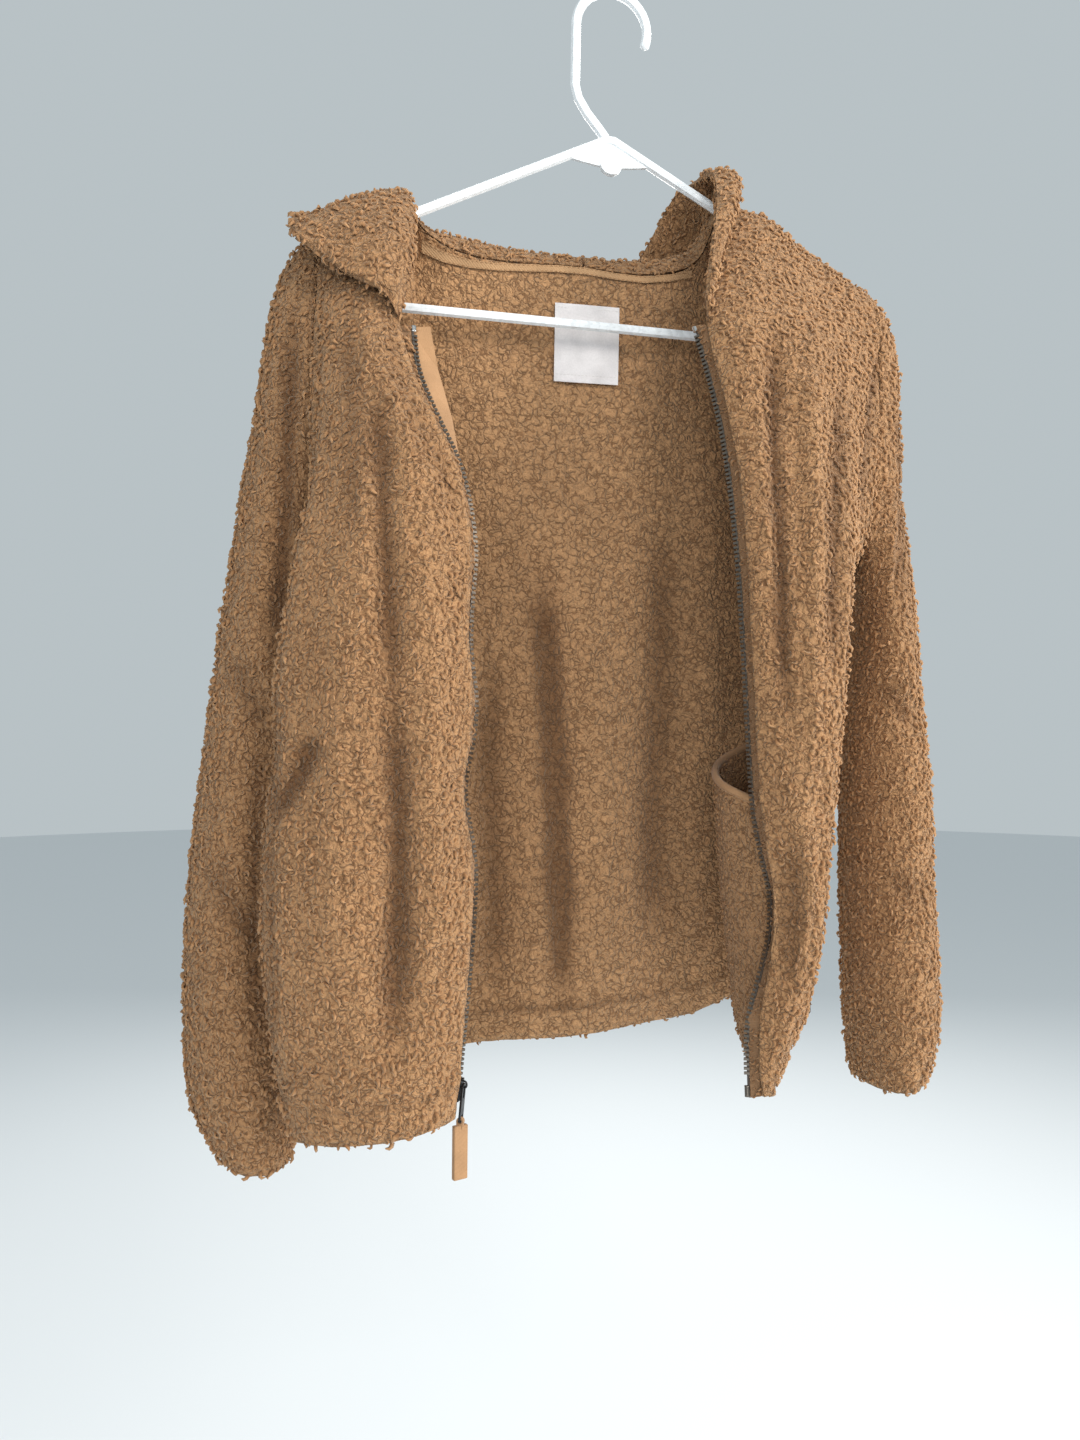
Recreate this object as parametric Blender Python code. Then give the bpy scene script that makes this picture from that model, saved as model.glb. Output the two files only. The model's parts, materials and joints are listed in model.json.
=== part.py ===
"""Hooded sherpa-fleece jacket with an open zip, hung on a one-piece tubular hanger.

Frame: origin at the inside top of the hanger's hook, +X along the hanger's bar, +Y towards the wall behind,
+Z up; the jacket's front faces -Y. Right and left are the wearer's, so the right front lies at -X.
The garment's tables are in millimetres, as a cutter measures, and mm() turns them into metres.

Every cloth piece is a grid of outer points with an outward direction at each point; its inner face lies the
cloth's thickness behind them. Pieces that meet at a seam share the seam's points and directions, and each is
drawn back a little from it.
"""

import math

import bmesh
import bpy
import numpy as np
from mathutils import Matrix, Vector

# ---------------------------------------------------------------- driving sizes, in millimetres
FLEECE = 7.0  # sherpa fleece, with the pile on both of its faces
HOOD_FLEECE = 6.0  # the same fleece in the hood, drawn thinner by its own weight
ZIP_EDGE = 4.5  # the fleece where it is pressed flat along the zip
SEAM_PULL = 0.2  # how far each piece stands back from a seam
TAPE = 1.0  # woven tapes
TAPE_ROLL = 0.5  # how far the zip's tapes roll in from the fleece's edge
TAPE_GAP = 0.4  # between a tape and what it lies on
TAPE_REACH = 6.8  # how far the zip's tapes show past the fleece's edge

TUBE_R = 3.5  # hanger tube
SEAT_GAP = 0.35  # cloth over the tube
PRESSED = 6.0  # the fleece where it bears on the tube
APEX_Z = -101.0  # where the hanger's arms meet
ARM_SLOPE = 0.503  # fall of the arms for each unit of width
BAR_Z = -235.0
END_R = 21.0  # centreline radius of the hanger's rounded ends
HOOK_R = 26.0  # centreline radius of the hook
HOOK_STEM_Z = -66.0
LEAN = 0.019  # the hanger's tilt about its hook, in radians, down on the left

# The tables count rows from 0 at the hem to 32 at the shoulder seam, with the underarm at 18 and the top of the
# zip at 26; the grids take these of them.
HEM, UNDERARM_ROW, ZIP_TOP_ROW, SHOULDER_ROW = 0.0, 18.0, 26.0, 32.0
BODY_STEPS, ARMHOLE_STEPS = 13, 5
NECK_ROWS = (ZIP_TOP_ROW, 27.4, 28.8, 30.2, 31.3, SHOULDER_ROW)  # closer over the hanger's tube
NECK_STEPS = len(NECK_ROWS) - 1
ROW_AT = np.concatenate(
    [
        np.linspace(HEM, UNDERARM_ROW, BODY_STEPS + 1)[:-1],
        np.linspace(UNDERARM_ROW, ZIP_TOP_ROW, ARMHOLE_STEPS + 1)[:-1],
        NECK_ROWS,
    ]
)
UNDERARM = BODY_STEPS  # grid row at the underarm
ZIP_TOP = BODY_STEPS + ARMHOLE_STEPS  # grid row at the top of the zip
FRONT_COLUMNS = 17  # grid cells from zip edge to side seam
BACK_COLUMNS = 25  # grid cells from side to side
SHOULDER_COLUMNS = 5  # cells of the back's top edge that lie under each shoulder seam
SLEEVE_STEPS = 24  # grid cells from armhole to cuff
LAST_RING = 24  # the sleeve tables count rings from 0 at the armhole to this at the cuff

HPS_X = {"right": -148.0, "left": 88.0}  # high points of the shoulder, at the neck
TIP_X = {"right": -203.0, "left": 196.0}  # shoulder tips
# A soft bulge of the shoulder beside the hood: where along the arm, how wide and how high.
SHOULDER_BULGE = {"right": (-175.0, 15.0, 0.0), "left": (118.0, 15.0, 7.0)}

# Rims of neighbours at a seam are split alike, by the order of their points along this direction.
RIM_ORDER = Vector((0.23, 0.41, 0.88))

COLOURS = {
    "fleece": (0.36, 0.20, 0.095),
    "twill": (0.45, 0.29, 0.16),
    "label": (0.80, 0.77, 0.76),
    "zip": (0.10, 0.085, 0.075),
    "metal": (0.02, 0.02, 0.022),
    "hanger": (0.85, 0.87, 0.88),
}


def mm(values):
    """Millimetres to metres."""
    return np.asarray(values, float) * 0.001


def table(header, rows):
    """A table's named columns as arrays."""
    values = np.array(rows, float)
    names = header.split()
    assert values.shape[1] == len(names), header
    return {name: values[:, i] for i, name in enumerate(names)}


def columns_of(data, *names):
    """Some of a table's columns, side by side."""
    return np.stack([data[name] for name in names], axis=-1)


# ---------------------------------------------------------------- garment tables, in millimetres
# Side seams, hem to underarm. Both fronts and the back end on them.
SIDE = {
    "right": table(
        "row    x     y     z",
        [
            (0, -190, 2, -757),
            (6, -190, 1, -650),
            (12, -190, 0, -527),
            (16, -193, 0, -440),
            (18, -197, 0, -400),
        ],
    ),
    "left": table(
        "row    x     y     z",
        [
            (0, 160, 14, -735),
            (3, 161, 13, -692),
            (6, 163, 12, -640),
            (12, 170, 8, -523),
            (16, 180, 3, -440),
            (18, 187, 0, -400),
        ],
    ),
}
# Armholes, underarm to shoulder tip, on the front and on the back.
ARMHOLE_HEADER = "row front_x front_y front_z back_x back_y back_z"
ARMHOLE = {
    "right": table(
        ARMHOLE_HEADER,
        [
            (18, -197, 0, -400, -197, 0, -400),
            (20, -205, -25, -384, -204, 22, -386),
            (23, -210, -37, -334, -208, 34, -336),
            (26, -210, -36, -282, -208, 34, -282),
            (29, -207, -27, -228, -206, 27, -230),
            (31, -205, -14, -195, -204, 15, -196),
            (31.5, -204, -8, -188, -204, 9, -188.5),
            (32, -203, 0, -185, -203, 0, -185),
        ],
    ),
    "left": table(
        ARMHOLE_HEADER,
        [
            (18, 187, 0, -400, 187, 0, -400),
            (20, 185, -24, -386, 190, 22, -386),
            (23, 185, -36, -342, 194, 34, -342),
            (26, 189, -36, -292, 196, 34, -292),
            (29, 194, -28, -240, 198, 27, -240),
            (31, 196, -15, -204, 197, 15, -204),
            (31.5, 196, -8, -196, 196, 8, -196),
            (32, 196, 0, -193, 196, 0, -193),
        ],
    ),
}
# Fronts: the zip edge in space, then four points of each row's plan on the way to the side.
FRONT_HEADER = "row zip_x zip_y zip_z in_x in_y belly_x belly_y corner_x corner_y rear_x rear_y sag"
FRONT = {
    "right": table(
        FRONT_HEADER,
        [
            (0, -124, -93, -756, -143.5, -105, -182, -107, -223, -78, -212, -44, 7),
            (3, -119, -95, -698, -140, -108, -184, -111, -236, -81, -222, -48, 4),
            (6, -115, -96, -644, -138.5, -109, -185, -113, -241, -80, -226, -49, 1),
            (9, -114, -96, -591, -137, -108, -186, -112, -241, -78, -226, -48, 0),
            (11, -121, -96, -556, -140, -108, -185, -111, -239, -77, -225, -47, 0),
            (12.5, -114.5, -96, -526.5, -136.5, -107.5, -184.5, -110, -236.5, -75.5, -222.5, -45, 0),
            (14, -113, -96, -497, -135, -107, -184, -109, -234, -74, -220, -43, 0),
            (15.5, -117.5, -95, -465, -137.5, -105.5, -183.5, -106.5, -229, -72, -216, -41, 0),
            (18, -113, -93, -412, -135, -103, -182, -102, -221, -69, -210, -38, 0),
            (20, -117.5, -89, -375, -139.5, -98, -183, -96, -214, -66, -209, -46, 0),
            (21, -121.5, -86, -356, -143, -95, -183.5, -92, -211.5, -64, -209.5, -48, 0),
            (22, -131.5, -83, -337, -149.5, -92, -184, -88, -209, -62, -210, -50, 0),
            (26, -157, -62, -264, -168, -67, -188, -64, -203, -54, -208, -45, 0),
            (29, -154, -40, -211, -162, -43, -180, -42, -198, -37, -204, -32, 0),
            (31, -150, -13, -171, -160, -17, -176, -18, -194, -17, -200, -15, 0),
            (31.5, -149, -7, -162, -160, -9, -176, -10, -194, -9, -200, -8, 0),
            (32, -148, 0, -159, -159, 0, -176, 0, -193, 0, -199, 0, 0),
        ],
    ),
    "left": table(
        FRONT_HEADER,
        [
            (0, 69, -105, -753, 75, -104, 84, -89, 102, -60, 122, -25, 5),
            (3, 66, -103, -700, 80, -110, 99, -104, 116, -64, 136, -28, 3),
            (5, 77, -100, -664, 89, -112, 106, -108, 121, -68, 141, -30, 1),
            (7, 80, -100, -627, 94, -114, 110, -111, 123, -70, 142, -31, 0),
            (9, 70, -100, -588, 87, -115, 110, -113, 126, -72, 146, -32, 0),
            (11, 67, -100, -553, 85, -115, 111, -114, 130, -73, 150, -33, 0),
            (14, 64, -100, -497, 82, -114, 113, -114, 136, -74, 156, -34, 0),
            (18, 61, -96, -412, 79, -108, 116, -108, 148, -71, 167, -36, 0),
            (20, 60, -92, -376, 79, -102, 116, -101, 155, -66, 174, -42, 0),
            (22, 58, -84, -336, 76, -94, 116, -92, 161, -62, 178, -48, 0),
            (26, 48, -66, -250, 66, -75, 110, -74, 163, -54, 182, -44, 0),
            (29, 66, -44, -200, 84, -49, 120, -46, 166, -36, 186, -31, 0),
            (31, 82, -15, -152, 98, -19, 130, -20, 172, -17, 188, -15, 0),
            (31.5, 86, -7, -140, 102, -9, 134, -10, 172, -9, 188, -8, 0),
            (32, 88, 0, -136, 103, 0, 134, 0, 172, 0, 188, 0, 0),
        ],
    ),
}
FRONT_SPREAD = (0.0, 0.11, 0.32, 0.62, 0.77, 1.0)  # where the plan's points lie along a row
# Back: five points of each row's plan between the side seams.
BACK = table(
    "row right_x right_y inner_right_x inner_right_y mid_x mid_y inner_left_x inner_left_y left_x left_y rise",
    [
        (0, -160, 32, -94, 46, -18, 33, 52, 48, 122, 45, 14),
        (3, -160, 31, -94, 46, -19, 34, 54, 48, 124, 42, 9),
        (8, -162, 30, -95, 45, -20, 36, 53, 46, 127, 38, 3),
        (13, -164, 30, -96, 44, -22, 37, 52, 44, 131, 36, 0),
        (18, -168, 32, -98, 42, -25, 38, 50, 42, 137, 34, 0),
        (22, -172, 35, -98, 38, -27, 37, 46, 38, 141, 35, 0),
        (26, -172, 33, -98, 32, -27, 32, 44, 32, 142, 33, 0),
        (29, -172, 26, -98, 28, -27, 26, 44, 28, 142, 26, 0),
        (31, -172, 16, -98, 25, -27, 22, 44, 25, 142, 16, 0),
        (31.5, -172, 10, -98, 22, -27, 21, 44, 22, 142, 10, 0),
        (32, -172, 0, -98, 18, -27, 20, 44, 18, 142, 0, 0),
    ],
)
BACK_SPREAD = (0.0, 0.12, 0.31, 0.5, 0.69, 0.88, 1.0)
# The back's neckline, from the right high point of the shoulder to the left one.
NECKLINE = table(
    "part    x    y     z",
    [
        (0.0, -148, 0, -159),
        (0.0667, -144, 14, -162),
        (0.1333, -134, 17, -174),
        (0.25, -105, 18, -186),
        (0.5, -27, 20, -188),
        (0.72, 44, 19, -187),
        (0.8667, 77, 18, -168),
        (0.9333, 84, 14, -142),
        (1.0, 88, 0, -136),
    ],
)
# Folds of the fronts and the back: a soft trough (+) or ridge (-), from one row to another, at a share of the
# row's length that may wander from foot to head.
FOLD_HEADER = "first last foot head width depth"
FOLDS = {
    "front_right": table(
        FOLD_HEADER,
        [
            (2, 13, 0.17, 0.30, 0.060, 7.0),
            (7, 25, 0.40, 0.46, 0.055, 4.5),
            (8, 13, 0.80, 0.60, 0.070, 7.0),
            (12, 27, 0.62, 0.70, 0.050, 4.0),
            (3, 16, 0.52, 0.50, 0.060, -3.0),
        ],
    ),
    "front_left": table(
        FOLD_HEADER,
        [
            (9, 27, 0.19, 0.23, 0.055, 8.0),
            (8, 28, 0.42, 0.47, 0.060, -5.0),
            (3, 12, 0.20, 0.28, 0.060, 5.0),
            (14, 27, 0.72, 0.80, 0.045, 4.5),
        ],
    ),
    "back": table(
        FOLD_HEADER,
        [
            (0, 20, 0.36, 0.42, 0.035, -5.0),
            (2, 17, 0.62, 0.57, 0.040, 6.0),
            (5, 22, 0.23, 0.27, 0.035, 5.0),
            (4, 20, 0.78, 0.74, 0.035, 5.0),
        ],
    ),
}
# Sleeves: outer is the line from the shoulder tip down, inner from the underarm down; depth is half of the tube.
SLEEVE_HEADER = "ring outer_x outer_z inner_x inner_z mid_y depth"
SLEEVE = {
    "right": table(
        SLEEVE_HEADER,
        [
            (0, -203, -185, -197, -400, 0, 36),
            (1, -217, -191, -201, -407, 1, 38),
            (2, -226, -206, -204, -416, 3, 40),
            (4, -235, -244, -206, -436, 5, 42),
            (7, -248, -316, -207, -464, 6, 43),
            (10, -261, -398, -207, -502, 6, 44),
            (13, -274, -488, -207, -552, 5, 44),
            (16, -285, -580, -210, -612, 4, 44),
            (19, -292, -668, -216, -684, 2, 45),
            (22, -290, -748, -219, -756, 0, 46),
            (23, -283, -776, -220, -779, -1, 46),
            (24, -266, -800, -221, -801, -2, 42),
        ],
    ),
    "left": table(
        SLEEVE_HEADER,
        [
            (0, 196, -193, 187, -400, 0, 36),
            (1, 203, -198, 190, -406, 1, 37),
            (2, 208, -210, 193, -415, 3, 38),
            (4, 214, -248, 196, -434, 5, 39),
            (7, 222, -318, 195, -462, 8, 40),
            (10, 232, -396, 191, -500, 11, 41),
            (13, 243, -484, 189, -552, 12, 42),
            (16, 250, -568, 189, -606, 12, 42),
            (19, 253, -652, 189, -668, 10, 43),
            (22, 253, -736, 190, -740, 6, 44),
            (23, 248, -762, 192, -765, 5, 43),
            (24, 234, -784, 196, -786, 4, 39),
        ],
    ),
}
HEAD_RINGS = 6  # rings over which a sleeve turns from the armhole's outline to an oval
HEAD_LIFT = (52.0, 62.0)  # how far the sleeve head carries on outwards and up as it leaves the shoulder tip
# Creases round the sleeves: at which ring, on which side (0 underarm, 0.25 front, 0.5 outside), how deep.
SLEEVE_CREASES = table(
    "ring  side  spread depth",
    [
        (7.5, 0.30, 0.16, 3.5),
        (10.5, 0.62, 0.18, 3.0),
        (13.0, 0.32, 0.15, 4.0),
        (15.5, 0.70, 0.18, 3.0),
        (18.0, 0.26, 0.16, 3.5),
        (20.5, 0.45, 0.18, 3.0),
    ],
)
CREASE_RINGS = 0.9  # how many rings a crease spreads over

# Hood: at each station round the neck seam, the fold over the seam, the layer by the back, the foot of the
# pouch, the outer layer and the free edge. Stations count the neck seam's points from the right zip top.
HOOD = table(
    "station thick fold_x fold_y fold_z near_x near_y near_z foot_x foot_y foot_z far_x far_y far_z"
    " edge_x edge_y edge_z",
    [
        (0, 4.5, -158, -64.5, -262, -159.5, -66.5, -260, -161.5, -69, -257.5, -163.5, -71.5, -255, -166, -74, -252),
        (3, 6, -149, -48, -208, -154, -57, -209, -166, -61, -218, -178, -62, -228, -189, -61, -238),
        (6, 6, -147, -4, -158, -157, -9, -163, -176, -22, -174, -198, -34, -190, -221, -45, -210),
        (7, 6, -148, 13, -157, -158, 8, -161, -178, -7, -172, -200, -17, -185, -222, -29, -198),
        (8, 6, -142, 21, -165, -157, 18, -164, -180, 9, -172, -202, 1, -181, -223, -10, -185),
        (9, 6, -127, 25, -171, -143, 28, -172, -167, 26, -183, -192, 20, -187, -215, 9, -179),
        (10.5, 6, -98, 27, -174, -112, 38, -200, -142, 52, -262, -180, 60, -238, -206, 44, -200),
        (12, 6, -66, 28, -178, -76, 44, -252, -92, 60, -346, -130, 78, -270, -168, 66, -205),
        (14, 6, -27, 28, -178, -27, 46, -290, -27, 64, -400, -27, 82, -290, -30, 82, -222),
        (16, 5.2, 12, 28, -177, 18, 46, -262, 32, 62, -346, 48, 80, -262, 22, 74, -182),
        (18, 4.6, 50, 28, -174, 58, 44, -204, 72, 60, -240, 80, 70, -186, 56, 58, -126),
        (19, 6, 68, 26, -168, 75, 38, -168, 86, 48, -172, 88, 55, -142, 66, 48, -104),
        (20, 6, 82, 22, -156, 86, 28, -144, 87, 36, -131, 85, 39, -117, 76, 37, -105),
        (21, 6, 88, 15, -132, 92, 17, -125, 90, 20, -117, 84, 21, -112, 73, 19, -109),
        (22, 6, 93, 1, -130, 96, 2, -123, 92, 2, -115, 83, 1, -112, 71, 0, -113),
        (24, 6, 78, -33, -165, 81, -36, -157, 80, -38, -150, 75, -38, -145, 66, -35, -144),
        (26, 5.5, 57, -57, -216, 57, -59, -211, 56, -60, -206, 55, -60, -201, 53, -59, -196),
        (28, 4.5, 48, -67, -247, 48, -68, -244, 47.5, -68.5, -241, 47, -69, -238, 46.5, -69, -235),
    ],
)
FOOT_WIDTH = 24.0  # between the two layers at the foot of the pouch
# Rows of the hood's grid between those curves; they crowd where the cloth turns over.
HOOD_ROWS = (0, 0.4, 0.75, 1, 1.3, 1.65, 2, 2.4, 2.75, 3, 3.3, 3.6, 4, 4.25, 4.6, 5, 5.5, 6)

# How the zip's tapes roll in from the fleece's edge, and where the facings over them lie, as offsets from that
# edge: the right ones turn out at the top.
ZIP_TURN = {
    "right": table(
        "row roll middle free",
        [
            (0, TAPE_ROLL, 0.5, 0.1),
            (20.4, TAPE_ROLL, 0.5, 0.1),
            (21.2, 0.35, 0.3, -9.5),
            (22.8, 0.05, -4.0, -22.5),
            (24.4, -0.1, -6.0, -25.0),
            (26, -0.1, -5.0, -19.0),
        ],
    ),
    "left": table("row roll middle free", [(0, TAPE_ROLL, 0.5, 0.1), (26, TAPE_ROLL, 0.5, 0.1)]),
}

# Pocket bags inside the fronts: plan points from the zip side to the side seam.
POCKET_LEFT = table(
    "row  z_zip z_side a_x a_y b_x b_y c_x c_y d_x d_y e_x e_y",
    [
        (0, -742, -736, 77, -80, 82, -55, 90, -32, 104, -12, 118, -8),
        (1, -722, -716, 75, -84, 77, -52, 87, -24, 106, -6, 126, -4),
        (3, -676, -668, 82, -85, 72, -49, 84, -20, 110, -2, 136, -1),
        (5, -630, -620, 85.5, -85, 68, -50, 79, -20, 112, -2, 140, -1),
        (7, -594, -560, 80.5, -85, 63, -56, 76, -22, 112, -4, 143, -2),
        (8, -566, -514, 77, -86, 59, -62, 72, -24, 112, -6, 145, -3),
    ],
)
POCKET_SPREAD = (0.0, 0.22, 0.45, 0.75, 1.0)
POCKET_COLUMNS = 10
POCKET_CLOTH = 4.0

# The neck tape's upper edge, in grid rows below the neck seam from the right to the left, and its width in rows.
NECK_TAPE = table("part below", [(0.0, 0.62), (0.3, 0.32), (0.6, 0.17), (1.0, 0.2)])
NECK_TAPE_ROWS = 0.62

LABEL_WIDTH = 48.0
LABEL_HEIGHT = 55.0
LABEL_CENTRE_X = -14.0
LABEL_TOP_Z = -214.0

# Zip slider and pull, round the hinge axis: long runs down the zip, out stands off the cloth.
SLIDER_WIDTH = 8.2
SLIDER_LENGTH = 13.0
SLIDER_PLATE = 1.2
SLIDER_SLOT = 3.4  # between its two plates, where the tape runs
AXIS_OVER_PLATE = 1.2
BAIL_WIRE = 0.6
TAB_LENGTH = 24.0
TAB_WIDTH = 5.4
TAB_THICK = 1.3
PULLER_LENGTH = 36.0
PULLER_WIDTH = 9.5
PULLER_THICK = 3.6
PULLER_TWIST = -40.0  # degrees: the soft strap turns out of the tab's plane
PULLER_SWAY = -5.0  # degrees: it hangs plumb below the leaning tab


# ---------------------------------------------------------------- curves and grids
def through(knots, values, at):
    """A smooth curve through `values` at `knots`, read at `at`."""
    knots, values, at = (np.asarray(a, float) for a in (knots, values, at))
    slopes = np.gradient(values, knots, axis=0)
    i = np.clip(np.searchsorted(knots, at, side="right") - 1, 0, len(knots) - 2)
    step = knots[i + 1] - knots[i]
    t = (at - knots[i]) / step
    if values.ndim > 1:
        step, t = step[:, None], t[:, None]
    start, end = values[i], values[i + 1]
    return (
        start * (1 + 2 * t) * (1 - t) ** 2
        + end * t * t * (3 - 2 * t)
        + slopes[i] * step * t * (1 - t) ** 2
        - slopes[i + 1] * step * t * t * (1 - t)
    )


def smooth_step(low, high, at):
    """0 below low, 1 above high, and a soft S between them."""
    t = np.clip((np.asarray(at, float) - low) / (high - low), 0, 1)
    return t * t * (3 - 2 * t)


def unit(vectors):
    """Vectors of length one."""
    return vectors / np.maximum(np.linalg.norm(vectors, axis=-1, keepdims=True), 1e-9)


def grid_normals(points):
    """Directions square to a grid, on the side that rows x columns turn to."""
    down = np.gradient(points, axis=0)
    across = np.gradient(points, axis=1)
    return unit(np.cross(across, down))


def evened(normals):
    """Directions evened out with those of the points around them."""
    padded = np.pad(normals, ((1, 1), (1, 1), (0, 0)), mode="edge")
    around = padded[:-2, 1:-1] + padded[2:, 1:-1] + padded[1:-1, :-2] + padded[1:-1, 2:]
    return unit(normals * 2 + around * 0.5)


def leaned(points):
    """Points of the hanger, turned about its hook by its tilt."""
    points = np.asarray(points, float)
    turned = points.copy()
    turned[..., 0] = points[..., 0] * math.cos(LEAN) + points[..., 2] * math.sin(LEAN)
    turned[..., 2] = points[..., 2] * math.cos(LEAN) - points[..., 0] * math.sin(LEAN)
    return turned


def arm_slope(side):
    """Fall of one of the hanger's arms, with its tilt."""
    return math.tan(math.atan(ARM_SLOPE) + (LEAN if side == "left" else -LEAN))


def shoulder_z(x, side):
    """Height of the cloth's outer face on the hanger's arm."""
    apex = leaned((0.0, 0.0, APEX_Z))
    slope = arm_slope(side)
    rise = (TUBE_R + SEAT_GAP + FLEECE) * math.hypot(1, slope)
    place, width, height = SHOULDER_BULGE[side]
    bulge = height * np.exp(-(((x - place) / width) ** 2))
    return apex[2] - slope * abs(x - apex[0]) + rise + bulge


def shoulder_line(side, start, end, count):
    """Points of a shoulder seam between two widths."""
    x = np.linspace(start, end, count)
    return np.stack([x, np.zeros(count), shoulder_z(x, side)], axis=1)


def shoulder_normal(side):
    """Square to the hanger's arm."""
    sign = -1 if side == "right" else 1
    return unit(np.array([sign * arm_slope(side), 0.0, 1.0]))


def side_line(side, face):
    """The edge that a front or the back shares with the side seam and the armhole, at the grid's rows."""
    seam, hole = SIDE[side], ARMHOLE[side]
    low = through(seam["row"], columns_of(seam, "x", "y", "z"), ROW_AT[:UNDERARM])
    names = (f"{face}_x", f"{face}_y", f"{face}_z")
    high = through(hole["row"], columns_of(hole, *names), ROW_AT[UNDERARM:])
    high[-1] = (TIP_X[side], 0.0, shoulder_z(TIP_X[side], side))
    return np.concatenate([low, high])


def armhole_loop(side):
    """The armhole's points: up the front from the underarm, over the tip and down the back."""
    front = side_line(side, "front")[UNDERARM:]
    back = side_line(side, "back")[UNDERARM:]
    return np.concatenate([front, back[-2:0:-1]])


def add_folds(points, normals, folds):
    """Moves a panel's points in at troughs and out at ridges."""
    rows = ROW_AT[:, None]
    share = np.linspace(0, 1, points.shape[1])[None, :]
    moved = points.copy()
    for first, last, foot, head, width, depth in zip(*list(folds.values())):
        along = np.clip((rows - first) / (last - first), 0, 1)
        centre = foot + (head - foot) * along
        strength = np.sin(math.pi * along) ** 0.8
        across = np.exp(-(((share - centre) / width) ** 2))
        moved -= normals * (depth * strength * across)[..., None]
    return moved


def front_points(side):
    """Outer points of a front: rows from the hem up, columns from the zip edge to the side."""
    data = FRONT[side]
    zip_line = through(data["row"], columns_of(data, "zip_x", "zip_y", "zip_z"), ROW_AT)
    edge = side_line(side, "front")
    plan = [
        through(data["row"], columns_of(data, f"{name}_x", f"{name}_y"), ROW_AT)
        for name in ("in", "belly", "corner", "rear")
    ]
    sag = through(data["row"], data["sag"], ROW_AT)
    share = np.linspace(0, 1, FRONT_COLUMNS + 1)
    points = np.zeros((len(ROW_AT), len(share), 3))
    for row in range(len(ROW_AT)):
        controls = np.array([zip_line[row, :2], *[p[row] for p in plan], edge[row, :2]])
        points[row, :, :2] = through(FRONT_SPREAD, controls, share)
        height = zip_line[row, 2] + (edge[row, 2] - zip_line[row, 2]) * share
        points[row, :, 2] = height - sag[row] * np.sin(math.pi * share)
    seam = shoulder_line(side, HPS_X[side], TIP_X[side], len(share))
    pull = smooth_step(ZIP_TOP_ROW, SHOULDER_ROW, ROW_AT)[:, None, None]
    points += pull * (seam - points[-1])
    points[:, -1] = edge
    return points


def back_points():
    """Outer points of the back: rows from the hem up, columns from the right side to the left one."""
    edges = {side: side_line(side, "back") for side in ("right", "left")}
    plan = [
        through(BACK["row"], columns_of(BACK, f"{name}_x", f"{name}_y"), ROW_AT)
        for name in ("right", "inner_right", "mid", "inner_left", "left")
    ]
    rise = through(BACK["row"], BACK["rise"], ROW_AT)
    share = np.linspace(0, 1, BACK_COLUMNS + 1)
    points = np.zeros((len(ROW_AT), len(share), 3))
    for row in range(len(ROW_AT)):
        right, left = edges["right"][row], edges["left"][row]
        controls = np.array([right[:2], *[p[row] for p in plan], left[:2]])
        points[row, :, :2] = through(BACK_SPREAD, controls, share)
        points[row, :, 2] = right[2] + (left[2] - right[2]) * share
        points[row, :, 2] += rise[row] * np.exp(-(((share - 0.87) / 0.075) ** 2))
    neck_part = np.linspace(0, 1, BACK_COLUMNS - 2 * SHOULDER_COLUMNS + 1)
    neck = through(NECKLINE["part"], columns_of(NECKLINE, "x", "y", "z"), neck_part)
    right_seam = shoulder_line("right", TIP_X["right"], HPS_X["right"], SHOULDER_COLUMNS + 1)
    left_seam = shoulder_line("left", HPS_X["left"], TIP_X["left"], SHOULDER_COLUMNS + 1)
    top = np.concatenate([right_seam, neck[1:-1], left_seam])
    pull = smooth_step(ZIP_TOP_ROW - 4, SHOULDER_ROW, ROW_AT)[:, None, None]
    points += pull * (top - points[-1])
    points[:, 0] = edges["right"]
    points[:, -1] = edges["left"]
    return points


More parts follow.
